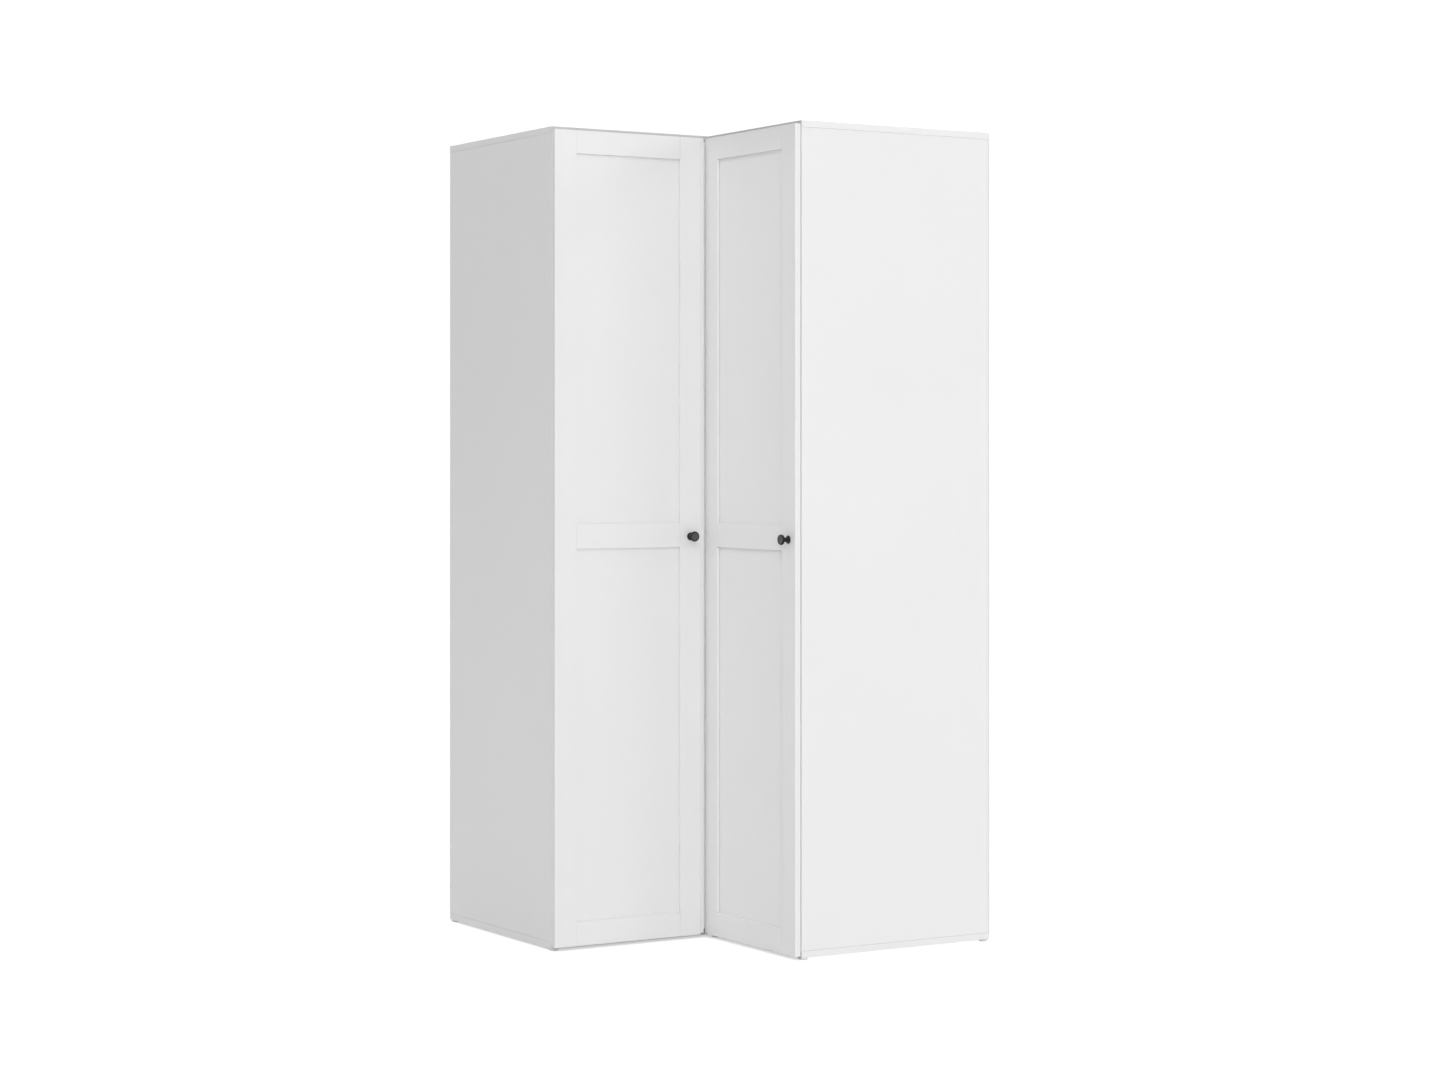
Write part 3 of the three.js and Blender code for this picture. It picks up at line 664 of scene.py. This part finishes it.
def makeDoors():
    parts = {
        "hinge_stile": "doors", "closing_stile": "doors", "top_rail": "doors", "middle_rail": "doors",
        "bottom_rail": "doors", "upper_panel": "sheets", "lower_panel": "sheets",
    }
    marked = {}
    # painted light: the top face of each bottom rail, under the lower panel, wears a paler finish
    for side in wings:
        node = f"{side}_door_bottom_rail"
        marked[node] = ("painted_light_ledge", {(2, 1): corners(node)[1][2]})
    # painted shade: the right door's panels darken towards the hinge stile
    for part in ("upper_panel", "lower_panel"):
        node = f"right_door_{part}"
        marked[node] = ("painted_crease_shade_panel", {(0, -1): corners(node)[0][0]})
    for side, wing in wings.items():
        for part, kind in parts.items():
            node = f"{side}_door_{part}"
            easedCopy(node, node + "_foiled", wing["body"], "white_foil", kind, marked=marked.get(node))
        for number in hingeNumbers:
            for part, body in (("cup", wing["body"]), ("arm", "carcass")):
                node = f"{side}_hinge_{part}_{number}"
                easedCopy(node, node + "_plated", body, "nickel_steel", "fittings")


makeDoors()
print("doors made")


# Knobs: a base flange, a waist and a slightly hollow face
knob = {
    "sides": 96,
    "easing": 0.9 * mm,
    "steps": 5,
    "faceReachShare": 0.74,
    "faceFromShare": 0.90,
    "outlineShares": [
        (0.0, 0.0), (0.76, 0.0), (0.78, 0.05), (0.7, 0.1), (0.5, 0.17), (0.43, 0.3), (0.43, 0.5),
        (0.52, 0.62), (0.86, 0.71), (0.97, 0.76), (1.0, 0.83), (0.97, 0.94), (0.9, 1.0), (0.8, 0.985),
        (0.4, 0.955), (0.0, 0.955),
    ],
}


def makeKnob(side):
    low, high = corners(f"{side}_door_knob")
    w = wings[side]
    outward = -w["inward"]
    reach = abs((high - low) @ outward)
    radius = (high - low)[2] / 2
    middle = (low + high) / 2
    foot = middle - outward * reach / 2
    part = turnedPart(np.array(knob["outlineShares"]) * [radius, reach], knob, foot, outward)
    name = f"{side}_door_knob_turned"
    mesh = buildMesh(name, *part, "black_metal")
    # the knob's face wears the paler black, a painted sheen
    mesh.materials.append(finishes["black_sheen_face"])
    for face in mesh.polygons:
        offset = np.array(face.center) - foot
        along = offset @ outward
        across = np.linalg.norm(offset - along * outward)
        onFace = along > knob["faceFromShare"] * reach and across < knob["faceReachShare"] * radius
        face.material_index = int(onFace)
    addPiece(name, mesh, w["body"], "black_metal", [f"{side}_door_knob"])


for side in wings:
    makeKnob(side)
print("knobs made")


# Screws with a crossed recess, in shares of the head's radius; shoulder and crown are rings on the
# head, as shares of its radius and of its dome
screw = {
    "crossReachShare": 0.62,
    "crossWidthShare": 0.16,
    "crossFloorShare": 0.55,
    "domeShare": 0.09,
    "recessShare": 0.42,
    "recessTipShare": 1.15,
    "neckShare": 0.53,
    "rimShare": 0.05,
    "shoulder": (0.93, 0.5),
    "crown": (0.72, 0.9),
}


def crossAngles():
    # In each quarter: on the arm's middle, at its corner, between, at the inner corner, and the
    # same again towards the next arm
    square, middle = math.pi / 2, math.pi / 4
    corner = math.atan2(screw["crossWidthShare"], screw["crossReachShare"])
    between = (corner + middle) / 2
    quarter = [0.0, corner, between, middle, square - between, square - corner]
    return np.array([a + k * square for k in range(4) for a in quarter])


def crossRadius(angles):
    # Distance from the middle to the outline of a cross: on an arm's end its reach over the
    # cosine, on an arm's side its half width over the sine, both within the nearest quarter.
    turn = np.abs((angles + math.pi / 4) % (math.pi / 2) - math.pi / 4)
    onEnd = screw["crossReachShare"] / np.cos(turn)
    onSide = screw["crossWidthShare"] / np.maximum(np.sin(turn), tiny)
    return np.minimum(onEnd, onSide)


def screwPart(head, outward, radius, sink, length, pan, turn):
    # Rings from the shank's end up to the head's rim, over its dome and down the recess walls
    angles = crossAngles()
    one = np.ones_like(angles)
    cross = crossRadius(angles)
    dome = screw["domeShare"] * radius
    neck = screw["neckShare"] * radius
    floor = -screw["recessShare"] * radius
    (shoulder, shoulderRise), (crown, crownRise) = screw["shoulder"], screw["crown"]
    rings = [
        (neck * one, -length), (neck * one, -sink),
        (radius * one, -sink if pan else -screw["rimShare"] * radius), (radius * one, 0.0),
        (shoulder * radius * one, shoulderRise * dome),
        (np.maximum(cross, crown) * radius, crownRise * dome),
        (cross * radius, dome),
        (cross * screw["crossFloorShare"] * radius, floor),
    ]
    radii = np.array([r for r, _ in rings])
    heights = np.broadcast_to(np.array([[h] for _, h in rings]), radii.shape)
    spread = np.broadcast_to(angles + turn, radii.shape)
    return ringSurface((radii, spread, heights), -length, screw["recessTipShare"] * floor, head, outward)


def addScrews(name, body, places, radius, sink, length, pan=False, replaced=()):
    turns = np.random.default_rng(len(name)).uniform(0, math.pi / 2, len(places))
    parts = [screwPart(at, out, radius, sink, length, pan, turn) for (at, out), turn in zip(places, turns)]
    return addSurfaces(name, parts, body, "zinc_steel", replaced, smooth=False)


# Where the hinge screws sit: along and inward from the wing's own origin, and spread above and
# below the level of each hinge
hingeScrews = {
    "cupAlong": 32 * mm, "cupInward": -0.9 * mm, "cupSpread": 24 * mm,
    "plateAlong": 18.3 * mm, "plateInward": 37 * mm, "plateSpread": 16 * mm,
    "armAlong": 21.3 * mm, "armInward": (26 * mm, 44 * mm),
    "radius": 3.2 * mm, "sink": 2 * mm, "cupLength": 11 * mm, "plateLength": 13 * mm,
    "armRadius": 2.6 * mm, "armLength": 2.5 * mm,
}


def hingeLevels(side):
    return [sum(corners(f"{side}_hinge_arm_{number}"))[2] / 2 for number in hingeNumbers]


def addHingeScrews(side):
    w, h = wings[side], hingeScrews
    levels = hingeLevels(side)
    cups = [(place(side, h["cupAlong"], h["cupInward"], z + s * h["cupSpread"]), w["inward"])
            for z in levels for s in (1, -1)]
    plates = [(place(side, h["plateAlong"], h["plateInward"], z + s * h["plateSpread"]), w["along"])
              for z in levels for s in (1, -1)]
    arms = [(place(side, h["armAlong"], reach, z), w["along"]) for z in levels for reach in h["armInward"]]
    addScrews(f"{side}_hinge_cup_screws", w["body"], cups, h["radius"], h["sink"], h["cupLength"])
    addScrews(f"{side}_hinge_plate_screws", "carcass", plates, h["radius"], h["sink"], h["plateLength"])
    addScrews(f"{side}_hinge_arm_screws", "carcass", arms, h["armRadius"], h["sink"], h["armLength"])


for side in wings:
    addHingeScrews(side)
print("hinge screws made")


# Knob screws: pan heads sunk into the back of the closing stiles
knobScrew = {"radius": 4 * mm, "headHeight": 2.2 * mm}


def addKnobScrew(side):
    low, high = corners(f"{side}_door_knob_screw")
    w = wings[side]
    inward = w["inward"]
    length = abs((high - low) @ inward)
    head = (low + high) / 2 + inward * (length / 2 - screw["domeShare"] * knobScrew["radius"])
    shank = length - 2 * screw["domeShare"] * knobScrew["radius"]
    addScrews(f"{side}_door_knob_machine_screw", w["body"], [(head, inward)], knobScrew["radius"],
              knobScrew["headHeight"], shank, pan=True, replaced=[f"{side}_door_knob_screw"])


for side in wings:
    addKnobScrew(side)
print("knob screws made")


# Clothes rails with their sockets, end caps and screws
rail = {
    "tube": {"sides": 64, "easing": 0.6 * mm, "steps": 5},
    "cap": {"sides": 64, "easing": 1.2 * mm, "steps": 6},
    "socket": {"sides": 64, "easing": 0.7 * mm, "steps": 5},
    "capRim": 0.5 * mm, "capReach": 3 * mm, "capWallShare": 0.5, "capFaceShare": 0.6,
    "flange": 3 * mm, "collar": 15.8 * mm, "bore": 12.9 * mm, "boreFloor": 3.2 * mm,
    "screwCircle": 20.5 * mm, "hangerScrewSpread": 21 * mm, "hangerPlate": 3 * mm,
    "screwRadius": 3.2 * mm, "screwSink": 2 * mm, "screwLength": 12 * mm,
}
railWays = {
    "left": (np.array([1.0, 0.0, 0.0]), np.array([0.0, 1.0, 0.0])),
    "right": (np.array([0.0, 1.0, 0.0]), np.array([1.0, 0.0, 0.0])),
}


def addRail(side):
    way, across = railWays[side]
    low, high = corners(f"{side}_clothes_rail")
    radius, length = (high - low)[2] / 2, (high - low) @ way
    middle = (low + high) / 2
    foot, end = middle - way * length / 2, middle + way * length / 2
    tube = turnedPart([(0, 0), (radius, 0), (radius, length), (0, length)], rail["tube"], foot, way)
    addSurfaces(f"{side}_clothes_rail_tube", [tube], "carcass", "nickel_steel", [f"{side}_clothes_rail"])
    rim, reach = radius + rail["capRim"], rail["capReach"]
    wall, flat = rail["capWallShare"] * reach, rail["capFaceShare"] * rim
    cap = turnedPart([(0, 0), (rim, 0), (rim, wall), (flat, reach), (0, reach)], rail["cap"], end, way)
    addSurfaces(f"{side}_rail_end_cap", [cap], "carcass", "white_plastic")

    low, high = corners(f"{side}_rail_socket")
    radius, length = (high - low)[2] / 2, (high - low) @ way
    face = (low + high) / 2 - way * length / 2
    flange, collar, bore, floor = rail["flange"], rail["collar"], rail["bore"], rail["boreFloor"]
    socket = turnedPart([
        (0, 0), (radius, 0), (radius, flange), (collar, flange),
        (collar, length), (bore, length), (bore, floor), (0, floor),
    ], rail["socket"], face, way)
    addSurfaces(f"{side}_rail_socket_turned", [socket], "carcass", "nickel_steel", [f"{side}_rail_socket"])
    spots = [(face + way * flange + s * rail["screwCircle"] * up, way) for s in (1, -1)]

    low, high = corners(f"{side}_rail_hanger")
    plate = (low + high) / 2
    plate[2] = high[2] - rail["hangerPlate"]
    spots += [(plate + s * rail["hangerScrewSpread"] * across, -up) for s in (1, -1)]
    size = rail["screwRadius"], rail["screwSink"], rail["screwLength"]
    addScrews(f"{side}_rail_screws", "carcass", spots, *size)


for side in railWays:
    addRail(side)
print("rails made")


# Glides under the bottom board
glide = {
    "sides": 48, "bevel": 1.5 * mm, "height": 4.7 * mm, "nailRadius": 1.5 * mm,
    "easing": 0.6 * mm, "steps": 5,
}


def addGlide(node):
    low, high = corners(node)
    radius = (high - low)[0] / 2
    foot = np.array([(low + high)[0] / 2, (low + high)[1] / 2, low[2]])
    bevel, height, nail, top = glide["bevel"], glide["height"], glide["nailRadius"], high[2] - low[2]
    part = turnedPart([
        (0, 0), (radius - bevel, 0), (radius, bevel), (radius, height), (nail, height), (nail, top), (0, top),
    ], glide, foot, up)
    addSurfaces(node + "_moulded", [part], "carcass", "white_plastic", [node])


for node in [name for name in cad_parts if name.endswith("_glide")]:
    addGlide(node)
print("glides made")


# Back: sheets set in by the height of the nail heads, joint strips and nails
back = {
    "proud": 0.4 * mm,
    "stripWidth": 14 * mm, "stripWeb": 0.25 * mm, "stripFlange": 0.8 * mm, "stripGap": 0.5 * mm,
    "stripSetShare": 0.1,
    "nail": {"sides": 16, "easing": 0.5 * mm, "steps": 3},
    "nailRadius": 2.4 * mm, "nailDepth": 1 * mm, "nailRimShare": 0.4,
    "nailPitch": 150 * mm, "nailInset": 8 * mm, "nailEnd": 60 * mm, "shelfNails": 5,
}
backWalls = {
    "left": {"axis": 1, "along": 0, "panel": "left_end_panel"},
    "right": {"axis": 0, "along": 1, "panel": "right_end_panel"},
}


def unit(axis):
    return np.eye(3)[axis]


def turnOutwards(piece):
    solid = bmesh.new()
    solid.from_mesh(piece.data)
    bmesh.ops.recalc_face_normals(solid, faces=solid.faces)
    solid.to_mesh(piece.data)
    solid.free()


def addBack(side):
    wall = backWalls[side]
    out, along = unit(wall["axis"]), unit(wall["along"])
    outer = corners(f"{side}_back_sheet_outer")
    inner = corners(f"{side}_back_sheet_inner")
    face = outer[1][wall["axis"]]
    sheetFace = face - back["proud"]
    innerFace = outer[0][wall["axis"]]
    for part in ("outer", "inner"):
        node = f"{side}_back_sheet_{part}"
        piece = easedCopy(node, node + "_nailed", "carcass", "white_sheet", "sheets")
        co = np.empty(len(piece.data.vertices) * 3)
        piece.data.vertices.foreach_get("co", co)
        co = co.reshape(-1, 3)
        co[co[:, wall["axis"]] > sheetFace, wall["axis"]] = sheetFace
        piece.data.vertices.foreach_set("co", co.ravel())
        piece.data.update()

    # The strip is an H: a web in the slit, a flange outside and one inside, open at the shelf
    slit = (outer[1][wall["along"]] + inner[0][wall["along"]]) / 2
    half, web = back["stripWidth"] / 2, back["stripWeb"]
    bottom, top = outer[0][2], outer[1][2]
    stripFace = face - back["stripSetShare"] * back["proud"]
    tee = [
        (-half, sheetFace), (-web, sheetFace), (-web, innerFace), (web, innerFace), (web, sheetFace),
        (half, sheetFace), (half, stripFace), (-half, stripFace),
    ]
    flat = [
        (-half, innerFace - back["stripFlange"]), (half, innerFace - back["stripFlange"]),
        (half, innerFace), (-half, innerFace),
    ]
    foot = slit * along
    parts = []
    for outline, low, high in (
        (tee, bottom, top),
        (flat, bottom, shelfLow[2] - back["stripGap"]),
        (flat, shelfHigh[2] + back["stripGap"], top),
    ):
        parts.append(barPart(outline, along, out, foot + low * up, up, high - low))
    turnOutwards(addSurfaces(f"{side}_back_joint_strip", parts, "carcass", "white_plastic", smooth=False))

    # Nails run up the end panel and the rear post, and along the hat shelf
    panelLow = corners(wall["panel"])[0]
    count = int((top - bottom - 2 * back["nailEnd"]) / back["nailPitch"]) + 1
    levels = np.linspace(bottom + back["nailEnd"], top - back["nailEnd"], count)
    post = sum(corners("rear_corner_post")) / 2
    edges = [panelLow[wall["along"]] + back["nailInset"], post[wall["along"]]]
    shelfLevel = (shelfLow[2] + shelfHigh[2]) / 2
    spots = [(edge, level) for edge in edges for level in levels]
    spots += [(edge, shelfLevel) for edge in np.linspace(edges[0], edges[1], back["shelfNails"] + 2)[1:-1]
              if abs(edge - slit) > back["stripWidth"]]
    radius, depth, rim = back["nailRadius"], back["nailDepth"], back["nailRimShare"] * back["proud"]
    dome = [(0, -depth), (radius, -depth), (radius, rim), (0, back["proud"])]
    nails = [turnedPart(dome, back["nail"], edge * along + sheetFace * out + level * up, out)
             for edge, level in spots]
    addSurfaces(f"{side}_back_nails", nails, "carcass", "zinc_steel")


for side in backWalls:
    addBack(side)
print("back made")


# Small fittings on the boards: caps over the cam locks, screws in the cleats and brackets. The
# cap's outline is in millimetres, radius and height
fittings = {
    "capOutline": [(0, 0), (8.5, 0), (8.5, 0.6), (7.4, 1.1), (0, 1.25)],
    "cap": {"sides": 40, "easing": 0.6 * mm, "steps": 4},
    "capEdge": 34 * mm, "capInset": 50 * mm, "capSink": 0.1 * mm,
    "screwRadius": 3.5 * mm, "screwSink": 2 * mm, "screwLength": 12 * mm, "cleatShares": (0.12, 0.5, 0.88),
    "bracketScrew": 26 * mm, "bracketScrewRadius": 3.2 * mm, "bracketPlate": 2.5 * mm,
}


def addCamCaps():
    upright = corners("hinge_upright")
    jamb = corners("corner_jamb")
    levels = (leftPanelLow[2] + fittings["capEdge"], leftPanelHigh[2] - fittings["capEdge"])
    inset = fittings["capInset"]
    x, y = unit(0), unit(1)
    spots = []
    for level in levels:
        for depth in (leftPanelLow[1] + inset, leftPanelHigh[1] - inset):
            spots.append((np.array([leftPanelHigh[0], depth, level]), x))
        for depth in (rightPanelLow[0] + inset, rightPanelHigh[0] - inset):
            spots.append((np.array([depth, rightPanelHigh[1], level]), y))
        spots.append((np.array([jamb[0][0], jamb[0][1] + inset, level]), -x))
        spots.append((np.array([upright[0][0] + inset, upright[0][1], level]), -y))
    outline = np.array(fittings["capOutline"]) * mm
    caps = [turnedPart(outline, fittings["cap"], at - out * fittings["capSink"], out) for at, out in spots]
    addSurfaces("cam_lock_caps", caps, "carcass", "white_plastic")


def addFittingScrews(name, spots, radius):
    addScrews(name, "carcass", spots, radius, fittings["screwSink"], fittings["screwLength"])


def addCleatScrews():
    spots = []
    for side, axis, along in (("left", 0, 1), ("right", 1, 0)):
        low, high = corners(f"{side}_shelf_cleat")
        for share in fittings["cleatShares"]:
            at = (low + high) / 2
            at[axis] = high[axis]
            at[along] = low[along] + share * (high - low)[along]
            spots.append((at, unit(axis)))
    addFittingScrews("shelf_cleat_screws", spots, fittings["screwRadius"])


def addBracketScrews():
    spots = []
    for side, axis in (("left", 1), ("right", 0)):
        low, high = corners(f"{side}_wall_bracket")
        at = (low + high) / 2
        at[axis] = high[axis] - fittings["bracketScrew"]
        at[2] = high[2] - fittings["bracketPlate"]
        spots.append((at, -up))
    addFittingScrews("wall_bracket_screws", spots, fittings["bracketScrewRadius"])


addCamCaps()
addCleatScrews()
addBracketScrews()
print("small fittings made")


# Bumpers on the back of each closing stile, where the door meets the carcass. The outline is in
# millimetres, radius and height
bumper = {
    "outline": [(0, 0), (4, 0), (3.7, 1.0), (2.6, 1.5), (0, 1.6)],
    "sides": 32, "easing": 0.5 * mm, "steps": 4,
    "edge": {"left": 5 * mm, "right": 8 * mm}, "level": 30 * mm, "doorBack": -2 * mm,
}


def addBumpers(side):
    w = wings[side]
    low, high = corners(f"{side}_door_closing_stile")
    width = max((low - w["origin"]) @ w["along"], (high - w["origin"]) @ w["along"])
    reach = width - bumper["edge"][side]
    outline = np.array(bumper["outline"]) * mm
    parts = [turnedPart(outline, bumper, place(side, reach, bumper["doorBack"], level), w["inward"])
             for level in (low[2] + bumper["level"], high[2] - bumper["level"])]
    addSurfaces(f"{side}_door_bumpers", parts, w["body"], "white_plastic")


for side in wings:
    addBumpers(side)
print("bumpers made")


# Floor, light and camera
studio = {
    "floorSize": 60.0, "floorCells": 8, "floorDrop": 0.2 * mm,
    "floorTone": (0.90, 0.90, 0.90, 1.0), "floorShadeShare": 0.985, "floorNoise": (3.0, 4.0),
    "floorRoughness": 0.9, "floorGlow": 0.97, "glowStrength": 1.05,
    "gapReach": 40 * mm, "gapSamples": 8, "gapSpan": (0.10, 0.3), "gapGlow": 0.5,
    # painted light: the floor under the right end panel keeps its full glow, within these places
    "litRightOf": rightPanelLow[0] + 25 * mm, "litBefore": rightPanelLow[1] + 45 * mm,
    "backdrop": (1.05, 1.05, 1.05, 1.0), "zenithLight": 0.813,
    "lightSize": (9.0, 7.0),
    "lights": {
        "highFrontLeftSoftbox": {"at": (-12.0, -21.0, 17.0), "power": 1790.0},
        "highLeftSoftbox": {"at": (-24.0, -3.0, 17.0), "power": 816.0},
        "lowFrontLeftSoftbox": {"at": (-11.0, -22.0, 3.0), "power": 1467.0},
        "lowFrontRightSoftbox": {"at": (11.0, -22.0, 3.0), "power": 570.0},
        "rightSoftbox": {"at": (20.0, -14.0, 8.0), "power": 714.0},
        "rearSoftbox": {"at": (16.0, 16.0, 12.0), "power": 1200.0},
    },
    "aim": (0.0, 0.0, 1.0),
}


def makeFloor():
    # A flat grid: point = (x, y, -drop), with a row of points for each step along x
    half, cells = studio["floorSize"] / 2, studio["floorCells"]
    row = cells + 1
    steps = np.linspace(-half, half, row)
    x, y = np.meshgrid(steps, steps, indexing="ij")
    points = np.stack([x, y, np.full_like(x, -studio["floorDrop"])], -1).reshape(-1, 3)
    i, j = np.meshgrid(np.arange(cells), np.arange(cells), indexing="ij")
    a = (i * row + j).ravel()
    quads = np.stack([a, a + row, a + row + 1, a + 1], -1)
    material, tree, shader, where = newMaterial("paleFloor")
    shade = tuple(studio["floorShadeShare"] * c for c in studio["floorTone"][:3]) + (1.0,)
    tone = blendColour(tree, addNoise(tree, where, *studio["floorNoise"]), studio["floorTone"], shade)
    tree.links.new(tone, shader.inputs["Base Color"])
    shader.inputs["Roughness"].default_value = studio["floorRoughness"]
    # The floor glows plain white to the camera. In the narrow gap under the boards, where ambient occlusion
    # finds them close, the glow drops so the gap shows darker, but under the right end panel a painted light
    # keeps the full glow
    glow = addNode(tree, "ShaderNodeEmission", {"Strength": studio["glowStrength"]}).outputs[0]
    openness = addNode(tree, "ShaderNodeAmbientOcclusion", {
        "Distance": studio["gapReach"]}, samples=studio["gapSamples"]).outputs["AO"]
    parts = addNode(tree, "ShaderNodeSeparateXYZ", {0: where}).outputs
    beside = math2(tree, "GREATER_THAN", parts[0], studio["litRightOf"])
    before = math2(tree, "LESS_THAN", parts[1], studio["litBefore"])
    lit = math2(tree, "MAXIMUM", openness, math2(tree, "MULTIPLY", beside, before))
    share = addRange(tree, lit, studio["gapSpan"], (studio["gapGlow"], studio["floorGlow"]))
    seen = addNode(tree, "ShaderNodeLightPath").outputs["Is Camera Ray"]
    seen = math2(tree, "MULTIPLY", seen, share)
    mixed = addNode(tree, "ShaderNodeMixShader", {0: seen, 1: shader.outputs[0], 2: glow})
    output = next(n for n in tree.nodes if n.type == "OUTPUT_MATERIAL")
    tree.links.new(mixed.outputs[0], output.inputs[0])
    finishes["floor"] = material
    floor = bpy.data.objects.new("floor", buildMesh("floor", points, quads, [], "floor", smooth=False))
    bpy.context.scene.collection.objects.link(floor)


def makeWorld():
    world = bpy.data.worlds.new("studioWorld")
    bpy.context.scene.world = world
    world.use_nodes = True
    tree = world.node_tree
    tree.nodes.clear()
    # Light from the sky grows with the height of its direction; the camera sees plain white
    seen = addNode(tree, "ShaderNodeLightPath").outputs["Is Camera Ray"]
    where = addNode(tree, "ShaderNodeTexCoord").outputs["Generated"]
    height = addNode(tree, "ShaderNodeSeparateXYZ", {0: where}).outputs[2]
    level = addRange(tree, height, (0.0, 1.0), (0.0, studio["zenithLight"]))
    tone = blendColour(tree, seen, level, studio["backdrop"])
    light = addNode(tree, "ShaderNodeBackground", {"Color": tone, "Strength": 1.0})
    output = addNode(tree, "ShaderNodeOutputWorld")
    tree.links.new(light.outputs[0], output.inputs[0])


def makeLights():
    for name, look in studio["lights"].items():
        light = bpy.data.lights.new(name, "AREA")
        light.shape = "RECTANGLE"
        light.size, light.size_y = studio["lightSize"]
        light.energy = look["power"]
        lamp = bpy.data.objects.new(name, light)
        lamp.location = look["at"]
        aim = Vector(studio["aim"]) - Vector(look["at"])
        lamp.rotation_euler = aim.to_track_quat("-Z", "Y").to_euler()
        bpy.context.scene.collection.objects.link(lamp)


# The photograph is 1438 by 1080: the lens, the horizon above the middle and the turn were read
# from the upright edges and the vanishing points of the two wings.
photo = {"width": 1438, "height": 1080, "focal": 3008.5, "horizon": 456.9, "turn": 31.386}
camera = {"at": (-3.9907, -6.5655, 1.2103), "sensor": 36.0, "reach": 200.0}


def makeCamera():
    lens = bpy.data.cameras.new("photoLens")
    lens.sensor_width = camera["sensor"]
    lens.lens = camera["sensor"] * photo["focal"] / photo["width"]
    lens.shift_y = (photo["horizon"] - photo["height"] / 2) / photo["width"]
    lens.clip_end = camera["reach"]
    holder = bpy.data.objects.new("photoCamera", lens)
    holder.location = camera["at"]
    holder.rotation_euler = (math.pi / 2, 0.0, -math.radians(photo["turn"]))
    bpy.context.scene.collection.objects.link(holder)
    bpy.context.scene.camera = holder


makeFloor()
makeWorld()
makeLights()
makeCamera()
bpy.context.scene.view_settings.view_transform = "Standard"
print("studio made")
